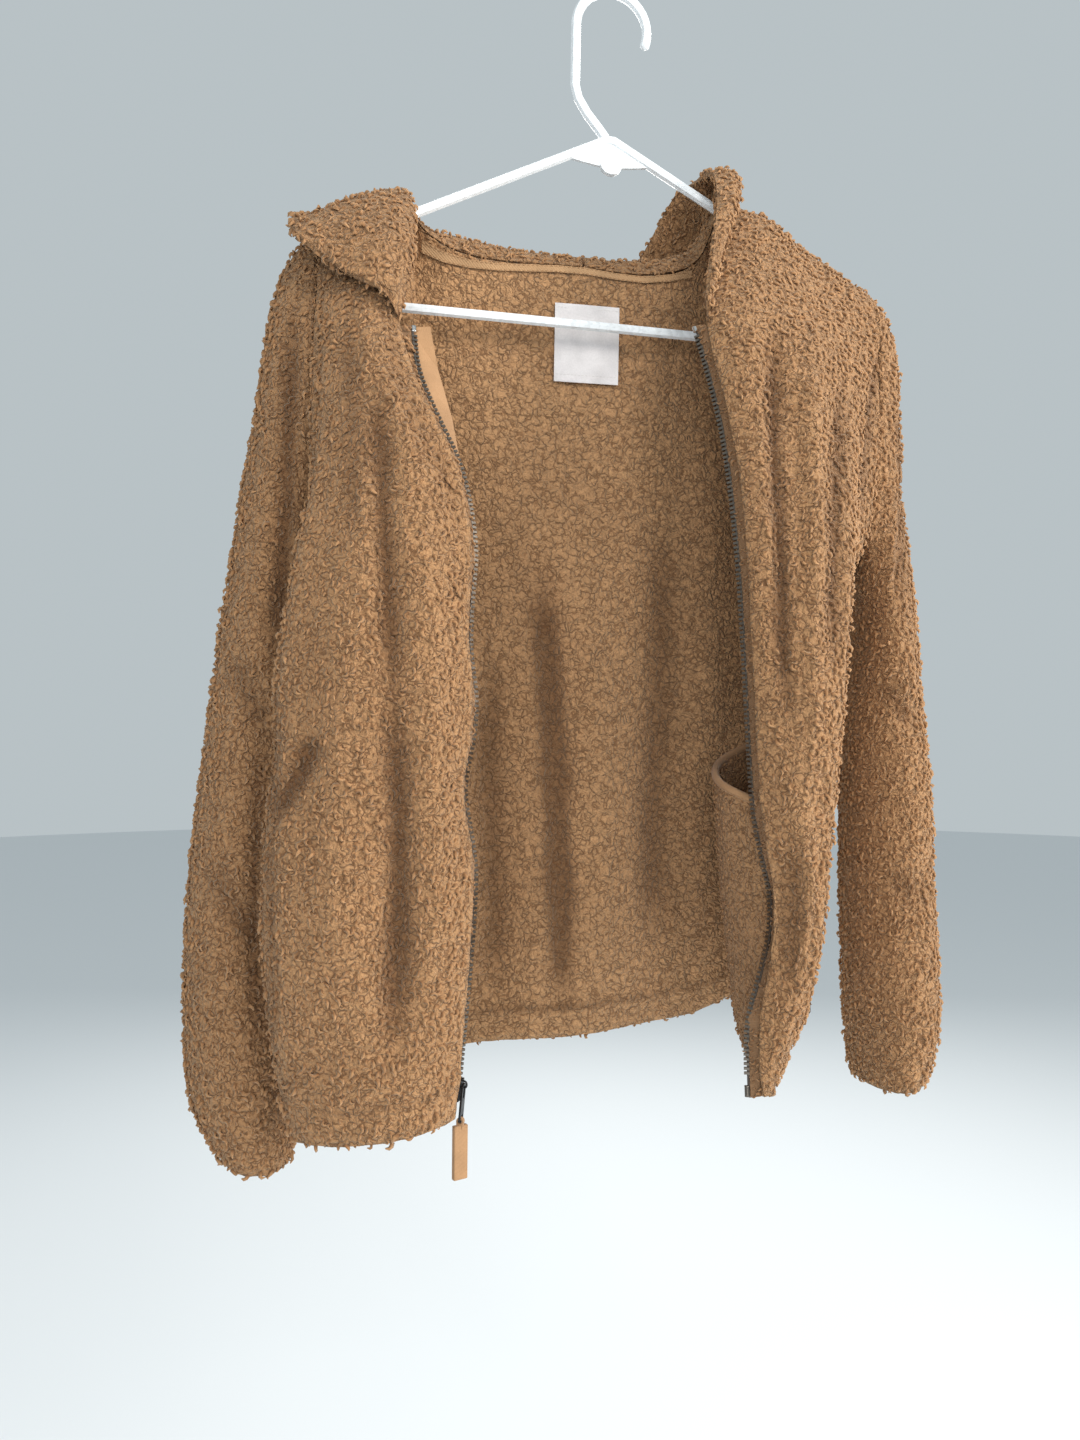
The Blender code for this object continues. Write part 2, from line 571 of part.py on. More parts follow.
class Cloth:
    """A piece of cloth: outer points, outward directions and thickness on one grid."""

    def __init__(self, points, thickness=FLEECE, flip=False, round_and_round=False):
        self.points = points.copy()
        around = points
        if round_and_round:
            around = np.concatenate([points[:, -1:], points, points[:, :1]], axis=1)
        normals = evened(grid_normals(around)) * (-1 if flip else 1)
        self.normals = normals[:, 1:-1] if round_and_round else normals
        self.thickness = np.full(points.shape[:2], float(thickness))
        self.settled = np.zeros_like(points)

    @property
    def inner(self):
        """Points of the inner face."""
        return self.points - self.normals * self.thickness[..., None] + self.settled

    def unfold(self, fixed, steps=24):
        """Evens out the inner face where it would fold over itself inside a tight bend; fixed edges stay."""
        held = np.zeros(self.thickness.shape, bool)
        for here in fixed:
            held[here] = True
        for _ in range(steps):
            inner = self.inner
            tight = np.zeros(held.shape, bool)
            for axis, low, high in ((0, np.s_[:-1], np.s_[1:]), (1, np.s_[:, :-1], np.s_[:, 1:])):
                out, into = np.diff(self.points, axis=axis), np.diff(inner, axis=axis)
                bad = (out * into).sum(-1) < 0.2 * (out * out).sum(-1)
                tight[low] |= bad
                tight[high] |= bad
            if not tight.any():
                break
            wide = tight.copy()
            wide[1:] |= tight[:-1]
            wide[:-1] |= tight[1:]
            wide[:, 1:] |= tight[:, :-1]
            wide[:, :-1] |= tight[:, 1:]
            wide &= ~held
            padded = np.pad(inner, ((1, 1), (1, 1), (0, 0)), mode="reflect", reflect_type="odd")
            around = (padded[:-2, 1:-1] + padded[2:, 1:-1] + padded[1:-1, :-2] + padded[1:-1, 2:]) / 4
            self.settled[wide] += 0.5 * (around - inner)[wide]

    def thin_where_tight(self, closed=False, least=1.6):
        """Takes thickness off where the inner face would fold over itself inside a tight bend."""
        for _ in range(24):
            inner = self.inner
            tight = np.zeros(self.thickness.shape, bool)
            for axis in (0, 1):
                if closed and axis == 1:
                    out = np.roll(self.points, -1, axis=1) - self.points
                    into = np.roll(inner, -1, axis=1) - inner
                    bad = (out * into).sum(-1) < 0.3 * (out * out).sum(-1)
                    tight |= bad | np.roll(bad, 1, axis=1)
                    continue
                out, into = np.diff(self.points, axis=axis), np.diff(inner, axis=axis)
                bad = (out * into).sum(-1) < 0.3 * (out * out).sum(-1)
                if axis == 0:
                    tight[:-1] |= bad
                    tight[1:] |= bad
                else:
                    tight[:, :-1] |= bad
                    tight[:, 1:] |= bad
            self.thickness = np.where(tight, np.maximum(least, self.thickness * 0.85), self.thickness)
        padded = np.pad(self.thickness, 1, mode="edge")
        around = np.minimum(
            np.minimum(padded[:-2, 1:-1], padded[2:, 1:-1]), np.minimum(padded[1:-1, :-2], padded[1:-1, 2:])
        )
        self.thickness = np.minimum(self.thickness, around * 1.5)

    def draw_back(self, here, inside, amount=SEAM_PULL, ring=False):
        """Moves an edge a little way off the plane that it shares with the piece across the seam."""
        line = self.points[here]
        along = np.roll(line, -1, axis=0) - np.roll(line, 1, axis=0) if ring else np.gradient(line, axis=0)
        off = unit(np.cross(along, self.normals[here]))
        inward = self.points[inside] - line
        off *= np.sign((off * inward).sum(axis=-1, keepdims=True))
        self.points[here] += amount * off


def join(*edges):
    """Gives edges that meet at a seam one shared direction, halfway between theirs.

    Where three pieces meet, the first two count as one.
    """
    own = [unit(cloth.normals[here]) for cloth, here in edges]
    if len(own) == 3:
        own = [unit(own[0] + own[1]), own[2]]
    for cloth, here in edges:
        cloth.normals[here] = unit(own[0] + own[1])


def ease(cloth, here, inside, weight=0.5):
    """Turns the directions next to a seam part of the way to the seam's."""
    cloth.normals[inside] = unit(cloth.normals[inside] + weight * cloth.normals[here])


def sleeve_cloth(side):
    """A sleeve: rings from the armhole to the cuff, points from the underarm round by the front."""
    data = SLEEVE[side]
    rings = np.linspace(0, LAST_RING, SLEEVE_STEPS + 1)
    read = {name: through(data["ring"], data[name], rings) for name in data if name != "ring"}
    armhole = armhole_loop(side)
    steps = np.linalg.norm(np.roll(armhole, -1, axis=0) - armhole, axis=1)
    along = np.concatenate([[0], np.cumsum(steps)[:-1]])
    top = len(ROW_AT) - 1 - UNDERARM
    front_turn = math.pi * along / along[top]
    back_turn = math.pi * (1 + (along - along[top]) / (steps.sum() - along[top]))
    turn = np.where(np.arange(len(armhole)) <= top, front_turn, back_turn)
    points = np.zeros((len(rings), len(armhole), 3))
    for k, ring in enumerate(rings):
        outer = np.array([read["outer_x"][k], read["mid_y"][k], read["outer_z"][k]])
        inner = np.array([read["inner_x"][k], read["mid_y"][k], read["inner_z"][k]])
        centre, half = (outer + inner) / 2, (outer - inner) / 2
        deep = read["depth"][k]
        pinch = np.zeros(len(turn))
        for at_ring, at_side, spread, depth in zip(*list(SLEEVE_CREASES.values())):
            off = (turn / (2 * math.pi) - at_side + 0.5) % 1 - 0.5
            pinch += depth * np.exp(-(((ring - at_ring) / CREASE_RINGS) ** 2) - (off / spread) ** 2)
        across = -np.sign(np.cos(turn)) * np.abs(np.cos(turn)) ** 0.85
        oval = across[:, None] * half + np.sin(turn)[:, None] * [0, -deep, 0]
        points[k] = centre + oval * (1 - pinch / deep)[:, None]
    # From the armhole to the first full oval each line runs as a smooth curve; over the tip it stands out.
    full = int(np.searchsorted(rings, HEAD_RINGS))
    chord = points[full] - armhole
    over = np.maximum(0, -np.cos(turn))[:, None] ** 2
    sign = -1 if side == "right" else 1
    beside = np.abs(np.sin(turn))[:, None]
    leave = chord + over * [sign * HEAD_LIFT[0], 0, HEAD_LIFT[1]] + beside * [sign * 26, 0, 22]
    arrive = (points[full + 1] - points[full - 1]) / 2 * full
    longest = 1.15 * np.linalg.norm(chord, axis=1, keepdims=True)
    arrive *= np.minimum(1, longest / np.linalg.norm(arrive, axis=1, keepdims=True))
    for k in range(full):
        t = k / full
        points[k] = (
            armhole * (1 + 2 * t) * (1 - t) ** 2
            + points[full] * t * t * (3 - 2 * t)
            + leave * t * (1 - t) ** 2
            - arrive * t * t * (1 - t)
        )
    cloth = Cloth(points, round_and_round=True)
    # The fleece is squeezed where the tube turns round at its front and behind.
    squeezed = np.abs(np.sin(turn))[None, :] ** 4 * smooth_step(0.5, 3, rings)[:, None]
    cloth.thickness -= 2.8 * squeezed * (1 - smooth_step(13, 17, rings)[:, None])
    outward = points - points.mean(axis=1, keepdims=True)
    if (outward[-1] * cloth.normals[-1]).sum() < 0:
        cloth.normals = -cloth.normals
    return cloth


def hood_stations():
    """Places round the neck, as the hood's table counts them, of the neck seam's points."""
    rising = (ROW_AT[ZIP_TOP:] - ZIP_TOP_ROW)[:-1]
    span = SHOULDER_ROW - ZIP_TOP_ROW
    across = np.linspace(span, 28 - span, BACK_COLUMNS - 2 * SHOULDER_COLUMNS + 1)
    return np.concatenate([rising, across, 28 - rising[::-1]])


def hood_cloth(seam):
    """The whole hood on the neck seam's points, right zip top to left zip top."""
    stations = hood_stations()
    fold, near, foot, far, edge = (
        through(HOOD["station"], columns_of(HOOD, f"{c}_x", f"{c}_y", f"{c}_z"), stations)
        for c in ("fold", "near", "foot", "far", "edge")
    )
    apart = np.linalg.norm(far - near, axis=1, keepdims=True)
    half = unit(far - near) * FOOT_WIDTH / 2 * np.minimum(1, apart / (1.6 * FOOT_WIDTH))
    keys = np.stack([seam, fold, near, foot - half, foot + half, far, edge])
    lines = []
    for k in range(len(stations)):
        gaps = np.linalg.norm(np.diff(keys[:, k], axis=0), axis=1) ** 0.75
        knots = np.concatenate([[0], np.cumsum(gaps)])
        length = np.linalg.norm(np.diff(keys[:, k], axis=0), axis=1).sum()
        crowded = smooth_step(110, 220, length)  # the rows spread evenly where the hood is short
        at = crowded * np.interp(HOOD_ROWS, np.arange(7), knots)
        at += (1 - crowded) * np.linspace(0, knots[-1], len(HOOD_ROWS))
        lines.append(through(knots, keys[:, k], at))
    points = np.stack(lines, axis=1)
    cloth = Cloth(points, flip=True)
    cloth.thickness[:] = through(HOOD["station"], HOOD["thick"], stations)
    return cloth


def shell():
    """Every fleece piece of the jacket's shell, joined at the seams."""
    cloths = {}
    for name, grid, flip in (
        ("front_right", front_points("right"), True),
        ("front_left", front_points("left"), False),
        ("back", back_points(), True),
    ):
        plain = Cloth(grid, flip=flip)
        folded = add_folds(grid, plain.normals, FOLDS[name])
        folded[:, -1] = grid[:, -1]
        if name == "back":
            folded[:, 0] = grid[:, 0]
        else:
            folded[-1] = grid[-1]
        cloths[name] = Cloth(folded, flip=flip)
    back = cloths["back"]
    neck = slice(SHOULDER_COLUMNS, BACK_COLUMNS - SHOULDER_COLUMNS + 1)
    fronts = cloths["front_right"], cloths["front_left"]
    seam = np.concatenate(
        [
            fronts[0].points[ZIP_TOP:-1, 0],
            back.points[-1, neck],
            fronts[1].points[ZIP_TOP:-1, 0][::-1],
        ]
    )
    hood = hood_cloth(seam)
    # Armholes, side seams and shoulders.
    last = len(ROW_AT) - 1
    for side, col in (("right", 0), ("left", BACK_COLUMNS)):
        front = cloths[f"front_{side}"]
        sleeve = cloths[f"sleeve_{side}"] = sleeve_cloth(side)
        rows = np.arange(UNDERARM)
        join((front, (rows, -1)), (back, (rows, col)))
        rows = np.arange(UNDERARM + 1, last)
        join((front, (rows, -1)), (sleeve, (0, rows - UNDERARM)))
        join((back, (rows, col)), (sleeve, (0, sleeve.points.shape[1] - (rows - UNDERARM))))
        crease = np.array([0.0, 0.0, -1.0])
        front.normals[UNDERARM, -1] = back.normals[UNDERARM, col] = sleeve.normals[0, 0] = crease
        front.normals[-1] = shoulder_normal(side)
        shoulder = slice(0, SHOULDER_COLUMNS + 1) if side == "right" else slice(-SHOULDER_COLUMNS - 1, None)
        back.normals[-1, shoulder] = shoulder_normal(side)
        join((front, (last, -1)), (back, (last, col)), (sleeve, (0, last - UNDERARM)))
        for cloth, here, inside in (
            (front, np.s_[:, -1], np.s_[:, -2]),
            (back, np.s_[:, col], np.s_[:, 1 if col == 0 else -2]),
            (front, np.s_[-1, 1:-1], np.s_[-2, 1:-1]),
            (sleeve, np.s_[0], np.s_[1]),
        ):
            ease(cloth, here, inside)
        front.thickness[: ZIP_TOP + 1, :2] = ZIP_EDGE
        # Three pieces crowd at the underarm.
        inner_col = 1 if col == 0 else -2
        around = sleeve.points.shape[1] - 1
        front.thickness[UNDERARM - 1 : UNDERARM + 2, -1] = back.thickness[UNDERARM - 1 : UNDERARM + 2, col] = 5.0
        front.thickness[UNDERARM, -2] = back.thickness[UNDERARM, inner_col] = sleeve.thickness[1, 0] = 5.0
        sleeve.thickness[0, [1, around]] = 5.0
        front.thickness[UNDERARM, -1] = back.thickness[UNDERARM, col] = sleeve.thickness[0, 0] = 3.0
        front.thickness[-1] = back.thickness[-1, shoulder] = sleeve.thickness[0, last - UNDERARM] = PRESSED
    # Neck seam.
    rows = np.arange(ZIP_TOP, last)
    at = rows - ZIP_TOP
    cols = np.arange(SHOULDER_COLUMNS + 1, BACK_COLUMNS - SHOULDER_COLUMNS)
    join((fronts[0], (rows, 0)), (hood, (0, at)))
    join((back, (last, cols)), (hood, (0, cols - SHOULDER_COLUMNS + NECK_STEPS)))
    join((fronts[1], (rows, 0)), (hood, (0, hood.points.shape[1] - 1 - at)))
    for front, col, station in (
        (fronts[0], SHOULDER_COLUMNS, NECK_STEPS),
        (fronts[1], BACK_COLUMNS - SHOULDER_COLUMNS, hood.points.shape[1] - 1 - NECK_STEPS),
    ):
        join((front, (last, 0)), (back, (last, col)), (hood, (0, station)))
    ease(hood, np.s_[0], np.s_[1])
    ease(back, np.s_[-1, neck], np.s_[-2, neck])
    # Near the zip the hood is a narrow strip; its directions turn evenly from the seam to the free edge.
    share = np.linspace(0, 1, hood.points.shape[0])[:, None]
    for k in range(hood.points.shape[1]):
        length = np.linalg.norm(np.diff(hood.points[:, k], axis=0), axis=1).sum()
        even = unit(hood.normals[0, k] * (1 - share) + hood.normals[-3:, k].mean(axis=0) * share)
        narrow = 1 - smooth_step(25, 50, length)
        hood.normals[:, k] = unit(hood.normals[:, k] * (1 - narrow) + even * narrow)
    middle = hood.points.shape[1] // 2
    for side, cut in (("right", slice(0, middle + 1)), ("left", slice(middle, None))):
        half = Cloth(hood.points[:, cut])
        half.normals = hood.normals[:, cut].copy()
        half.thickness = hood.thickness[:, cut].copy()
        cloths[f"hood_{side}"] = half
    return cloths


def seams(cloths):
    """Every seam: the same points as a piece and an index of its grid for each piece that meets there."""
    back, last = cloths["back"], len(ROW_AT) - 1
    for side, col in (("right", 0), ("left", BACK_COLUMNS)):
        front, sleeve, half = (cloths[f"{n}_{side}"] for n in ("front", "sleeve", "hood"))
        rows = np.arange(UNDERARM + 1)
        yield (front, (rows, -1)), (back, (rows, col))
        rows = np.arange(UNDERARM, last + 1)
        yield (front, (rows, -1)), (sleeve, (0, rows - UNDERARM))
        behind = (sleeve.points.shape[1] - (rows - UNDERARM)) % sleeve.points.shape[1]
        yield (back, (rows, col)), (sleeve, (0, behind))
        rows = np.arange(ZIP_TOP, last + 1)
        at = rows - ZIP_TOP if side == "right" else half.points.shape[1] - 1 - (rows - ZIP_TOP)
        yield (front, (rows, 0)), (half, (0, at))
    middle = cloths["hood_right"].points.shape[1] - 1
    cols = np.arange(SHOULDER_COLUMNS, SHOULDER_COLUMNS + middle - NECK_STEPS + 1)
    yield (back, (last, cols)), (cloths["hood_right"], (0, cols - SHOULDER_COLUMNS + NECK_STEPS))
    cols = np.arange(cols[-1], BACK_COLUMNS - SHOULDER_COLUMNS + 1)
    yield (back, (last, cols)), (cloths["hood_left"], (0, cols - cols[0]))
    rows = np.arange(cloths["hood_left"].points.shape[0])
    yield (cloths["hood_right"], (rows, -1)), (cloths["hood_left"], (rows, 0))


def thin_tight_bends(cloths):
    """Thins every piece inside its tight bends, alike on both sides of a seam."""
    for name, cloth in cloths.items():
        cloth.thin_where_tight(closed=name.startswith("sleeve"), least=3.0)
    for _ in range(2):
        for (one, here), (other, there) in seams(cloths):
            alike = np.minimum(one.thickness[here], other.thickness[there])
            one.thickness[here] = other.thickness[there] = alike
    cloths["hood_right"].unfold((np.s_[0], np.s_[:, -1]))
    cloths["hood_left"].unfold((np.s_[0], np.s_[:, 0]))


def draw_back_seams(cloths):
    """Stands every piece back from its seams."""
    first, second = np.s_[:, 0], np.s_[:, 1]
    last, before = np.s_[:, -1], np.s_[:, -2]
    for side in ("right", "left"):
        front, sleeve, half = (cloths[f"{n}_{side}"] for n in ("front", "sleeve", "hood"))
        front.draw_back(last, before)
        front.draw_back(np.s_[-1], np.s_[-2], 0.3)
        front.draw_back(np.s_[ZIP_TOP:, 0], np.s_[ZIP_TOP:, 1])
        sleeve.draw_back(np.s_[0], np.s_[1], ring=True)
        half.draw_back(np.s_[0], np.s_[1])
        if side == "right":
            half.draw_back(last, before)
        else:
            half.draw_back(first, second)
    back = cloths["back"]
    back.draw_back(first, second)
    back.draw_back(last, before)
    back.draw_back(np.s_[-1], np.s_[-2], 0.3)


# ---------------------------------------------------------------- meshes and objects
def material(name, roughness=0.9, metallic=0.0):
    """A Principled material in one of the named colours."""
    made = bpy.data.materials.get(name)
    if made:
        return made
    made = bpy.data.materials.new(name)
    made.use_nodes = True
    shader = made.node_tree.nodes["Principled BSDF"]
    shader.inputs["Base Color"].default_value = (*COLOURS[name], 1.0)
    shader.inputs["Roughness"].default_value = roughness
    shader.inputs["Metallic"].default_value = metallic
    return made


def add_object(name, mesh, finish, collection):
    """Puts a mesh in the scene as one named piece."""
    made = bpy.data.objects.new(name, mesh)
    made.data.materials.clear()
    made.data.materials.append(finish)
    collection.objects.link(made)
    return made


def wall_mesh(name, outer, inner, closed=False):
    """A closed wall between two grids of points; closed joins the last column to the first."""
    rows, cols = outer.shape[:2]
    made = bmesh.new()
    verts = [
        [[made.verts.new(mm(grid[r, c])) for c in range(cols)] for r in range(rows)]
        for grid in (outer, inner)
    ]
    spans = cols if closed else cols - 1
    for layer, grid in enumerate(verts):
        for r in range(rows - 1):
            for c in range(spans):
                d = (c + 1) % cols
                corners = [grid[r][c], grid[r][d], grid[r + 1][d], grid[r + 1][c]]
                made.faces.new(corners if layer == 0 else corners[::-1])
    out, ins = verts

    def rim(a, b, turned):
        """The wall's rim between two ends, split on the diagonal from the lower end's outer point."""
        (r, c), (k, d) = (a, b) if out[a[0]][a[1]].co.dot(RIM_ORDER) < out[b[0]][b[1]].co.dot(RIM_ORDER) else (b, a)
        swapped = turned if (r, c) == a else not turned
        for corners in ((out[r][c], out[k][d], ins[k][d]), (out[r][c], ins[k][d], ins[r][c])):
            made.faces.new(corners if swapped else corners[::-1])

    for r in (0, rows - 1):
        for c in range(spans):
            rim((r, c), (r, (c + 1) % cols), r != 0)
    if not closed:
        for c in (0, cols - 1):
            for r in range(rows - 1):
                rim((r, c), (r + 1, c), c == 0)
    bmesh.ops.triangulate(made, faces=made.faces[:])
    bmesh.ops.recalc_face_normals(made, faces=made.faces[:])
    if made.calc_volume(signed=True) < 0:
        bmesh.ops.reverse_faces(made, faces=made.faces[:])
    mesh = bpy.data.meshes.new(name)
    made.to_mesh(mesh)
    made.free()
    mesh.shade_smooth()
    return mesh


def cloth_object(name, cloth, finish, collection, closed=False):
    """A cloth piece as a solid wall."""
    return add_object(name, wall_mesh(name, cloth.points, cloth.inner, closed), finish, collection)


def strip_on_inside(cloth, rows, roll, offsets, lift, thick):
    """A thin strip along a front's zip edge, on its inner face.

    roll is how much it turns in past the edge, row by row. offsets run across the strip, each one number or one
    for each row: a share of the first cell into the panel, or millimetres past the edge when negative. lift is
    how far its near face lies off the panel's inner face.
    """
    inner = cloth.inner[rows]
    normals = cloth.normals[rows].copy()
    normals[-1] = unit(normals[-1] + 2 * normals[-2])
    away = unit(unit(inner[:, 0] - inner[:, 1]) - roll[:, None] * normals[:, 0])
    lines = []
    for offset in offsets:
        part = np.broadcast_to(offset, len(inner))[:, None]
        into_panel = (inner[:, 1] - inner[:, 0]) * np.clip(part, 0, 1)
        lines.append(inner[:, 0] + into_panel - away * np.clip(part, None, 0))
    lifts = np.full(len(inner), float(lift))
    lifts[-2:] += (0.3, 0.7)
    near = np.stack(lines, axis=1) - normals[:, :1] * lifts[:, None, None]
    far = near - normals[:, :1] * thick
    return near, far


def zip_tapes(panels, collection):
    """The zip's woven tapes and the flat facings over them."""
    rows = slice(0, ZIP_TOP + 1)
    for side in ("right", "left"):
        front = panels[f"front_{side}"]
        edge = ZIP_TURN[side]
        roll, *reach = (np.interp(ROW_AT[rows], edge["row"], edge[name]) for name in ("roll", "middle", "free"))
        tape = strip_on_inside(front, rows, roll, (0.8, 0.0, -TAPE_REACH), TAPE_GAP, TAPE)
        add_object(
            f"zip_tape_{side}",
            wall_mesh("tape", *tape),
            material("zip"),
            collection,
        )
        facing = strip_on_inside(front, rows, roll, (0.98, *reach), 2 * TAPE_GAP + TAPE + 0.4, TAPE)
        add_object(
            f"zip_facing_{side}",
            wall_mesh("facing", *facing),
            material("twill"),
            collection,
        )


def neck_tape(back, collection):
    """Twill tape over the inside of the back's neck seam."""
    columns = slice(SHOULDER_COLUMNS + 2, BACK_COLUMNS - SHOULDER_COLUMNS - 2)
    inner = back.inner[:-4:-1, columns]
    normals = evened(back.normals[-3:, columns])[::-1]
    share = np.linspace(0, 1, inner.shape[1])
    top = np.interp(share, NECK_TAPE["part"], NECK_TAPE["below"])
    near, out = [], []
    for depth in (top, top + NECK_TAPE_ROWS / 2, top + NECK_TAPE_ROWS):
        upper = np.clip(depth, 0, 1)[:, None]
        lower = np.clip(depth - 1, 0, 1)[:, None]
        near.append(inner[0] * (1 - upper) + inner[1] * (upper - lower) + inner[2] * lower)
        out.append(normals[0] * (1 - upper) + normals[1] * (upper - lower) + normals[2] * lower)
    near, normals = np.stack(near), unit(np.stack(out))
    near -= normals * (TAPE_GAP + 0.2)
    far = near - normals * TAPE
    add_object("neck_tape", wall_mesh("neck_tape", near, far), material("twill"), collection)


def inner_at(cloth, x, z):
    """The point of the back's inner face at a width and height, and its direction."""
    inner = cloth.inner
    flat = np.abs(inner[..., 0] - x) + np.abs(inner[..., 2] - z)
    r, c = np.unravel_index(np.argmin(flat), flat.shape)
    best = None
    for i in (r - 1, r):
        for j in (c - 1, c):
            if not (0 <= i < inner.shape[0] - 1 and 0 <= j < inner.shape[1] - 1):
                continue
            a, b, d = inner[i, j], inner[i, j + 1], inner[i + 1, j]
            m = np.array([[b[0] - a[0], d[0] - a[0]], [b[2] - a[2], d[2] - a[2]]])
            s, t = np.linalg.solve(m, [x - a[0], z - a[2]])
            miss = max(0, -s, -t, s - 1, t - 1)
            if best is None or miss < best[0]:
                best = (miss, a + (b - a) * s + (d - a) * t)
    return best[1]


def label(back, collection):
    """A blank woven label that hangs inside the back neck."""
    xs = np.linspace(-0.5, 0.5, 5) * LABEL_WIDTH + LABEL_CENTRE_X
    zs = LABEL_TOP_Z - np.linspace(0, 1, 5) * LABEL_HEIGHT
    near = np.array([[inner_at(back, x, z) for x in xs] for z in zs])
    lift = np.linspace(0.6, 2.2, len(zs))[:, None]
    near[..., 1] -= lift
    far = near - [0, 0.9, 0]
    add_object("label", wall_mesh("label", near, far), material("label"), collection)


def pocket_bags(panels, collection):
    """Fleece pocket bags inside the fronts; the left one gapes, the right one lies flat."""
    data = POCKET_LEFT
    steps = np.arange(int(data["row"][-1]) + 1)
    share = np.linspace(0, 1, POCKET_COLUMNS + 1)
    plan = [
        through(data["row"], columns_of(data, f"{p}_x", f"{p}_y"), steps) for p in "abcde"
    ]
    z_zip = through(data["row"], data["z_zip"], steps)
    z_side = through(data["row"], data["z_side"], steps)
    points = np.zeros((len(steps), len(share), 3))
    for row in steps:
        points[row, :, :2] = through(POCKET_SPREAD, np.array([p[row] for p in plan]), share)
        points[row, :, 2] = z_zip[row] + (z_side[row] - z_zip[row]) * share
    bag = Cloth(points, POCKET_CLOTH)
    cloth_object("pocket_bag_left", bag, material("fleece"), collection)
    front = panels["front_right"]
    region = (slice(1, 9), slice(3, 14))
    near = front.inner[region] - front.normals[region] * 0.6
    far = near - front.normals[region] * POCKET_CLOTH
    add_object("pocket_bag_right", wall_mesh("bag", near, far), material("fleece"), collection)


# ---------------------------------------------------------------- hanger
def curve_tube(name, points, radius, cyclic, collection, swell=None):
    """A round tube along a line of points, as a mesh object; swell scales the radius at its first points."""
    curve = bpy.data.curves.new(name, "CURVE")
    curve.dimensions = "3D"
    curve.bevel_depth = radius
    curve.bevel_resolution = 2
    curve.use_fill_caps = not cyclic
    spline = curve.splines.new("POLY")
    spline.points.add(len(points) - 1)
    for point, place in zip(spline.points, points):
        point.co = (*place, 1.0)
    for point, scale in zip(spline.points, swell or ()):
        point.radius = scale
    spline.use_cyclic_u = cyclic
    maker = bpy.data.objects.new(name, curve)
    collection.objects.link(maker)
    bpy.context.view_layer.update()
    graph = bpy.context.evaluated_depsgraph_get()
    mesh = bpy.data.meshes.new_from_object(maker.evaluated_get(graph))
    bpy.data.objects.remove(maker)
    tidy = bmesh.new()
    tidy.from_mesh(mesh)
    bmesh.ops.remove_doubles(tidy, verts=tidy.verts[:], dist=1e-6)
    bmesh.ops.recalc_face_normals(tidy, faces=tidy.faces[:])
    tidy.to_mesh(mesh)
    tidy.free()
    made = bpy.data.objects.new(name, mesh)
    collection.objects.link(made)
    return made


def arc(centre, radius, start, end, count):
    """Points along an arc in the XZ plane, with angles from +X towards +Z."""
    angles = np.linspace(start, end, count)
    return [
        (centre[0] + radius * math.cos(a), 0.0, centre[1] + radius * math.sin(a)) for a in angles
    ]


def outline_solid(name, points, thickness, collection):
    """A flat outline in the XZ plane, filled and given a thickness along Y."""
    curve = bpy.data.curves.new(name, "CURVE")
    curve.dimensions = "2D"
    curve.fill_mode = "BOTH"
    curve.extrude = thickness / 2
    for loop in points:
        spline = curve.splines.new("POLY")
        spline.points.add(len(loop) - 1)
        for point, place in zip(spline.points, loop):
            point.co = (place[0], place[1], 0.0, 1.0)
        spline.use_cyclic_u = True
    maker = bpy.data.objects.new(name, curve)
    collection.objects.link(maker)
    bpy.context.view_layer.update()
    graph = bpy.context.evaluated_depsgraph_get()
    mesh = bpy.data.meshes.new_from_object(maker.evaluated_get(graph))
    bpy.data.objects.remove(maker)
    tidy = bmesh.new()
    tidy.from_mesh(mesh)
    bmesh.ops.remove_doubles(tidy, verts=tidy.verts[:], dist=1e-7)
    bmesh.ops.recalc_face_normals(tidy, faces=tidy.faces[:])
    tidy.to_mesh(mesh)
    tidy.free()
    made = bpy.data.objects.new(name, mesh)
    collection.objects.link(made)
    return made


def unite(target, others):
    """Boolean union of mesh objects into one, applied."""
    for other in others:
        cut = target.modifiers.new("join", "BOOLEAN")
        cut.operation = "UNION"
        cut.object = other
    bpy.context.view_layer.update()
    graph = bpy.context.evaluated_depsgraph_get()
    mesh = bpy.data.meshes.new_from_object(target.evaluated_get(graph))
    target.modifiers.clear()
    target.data = mesh
    for other in others:
        bpy.data.objects.remove(other)


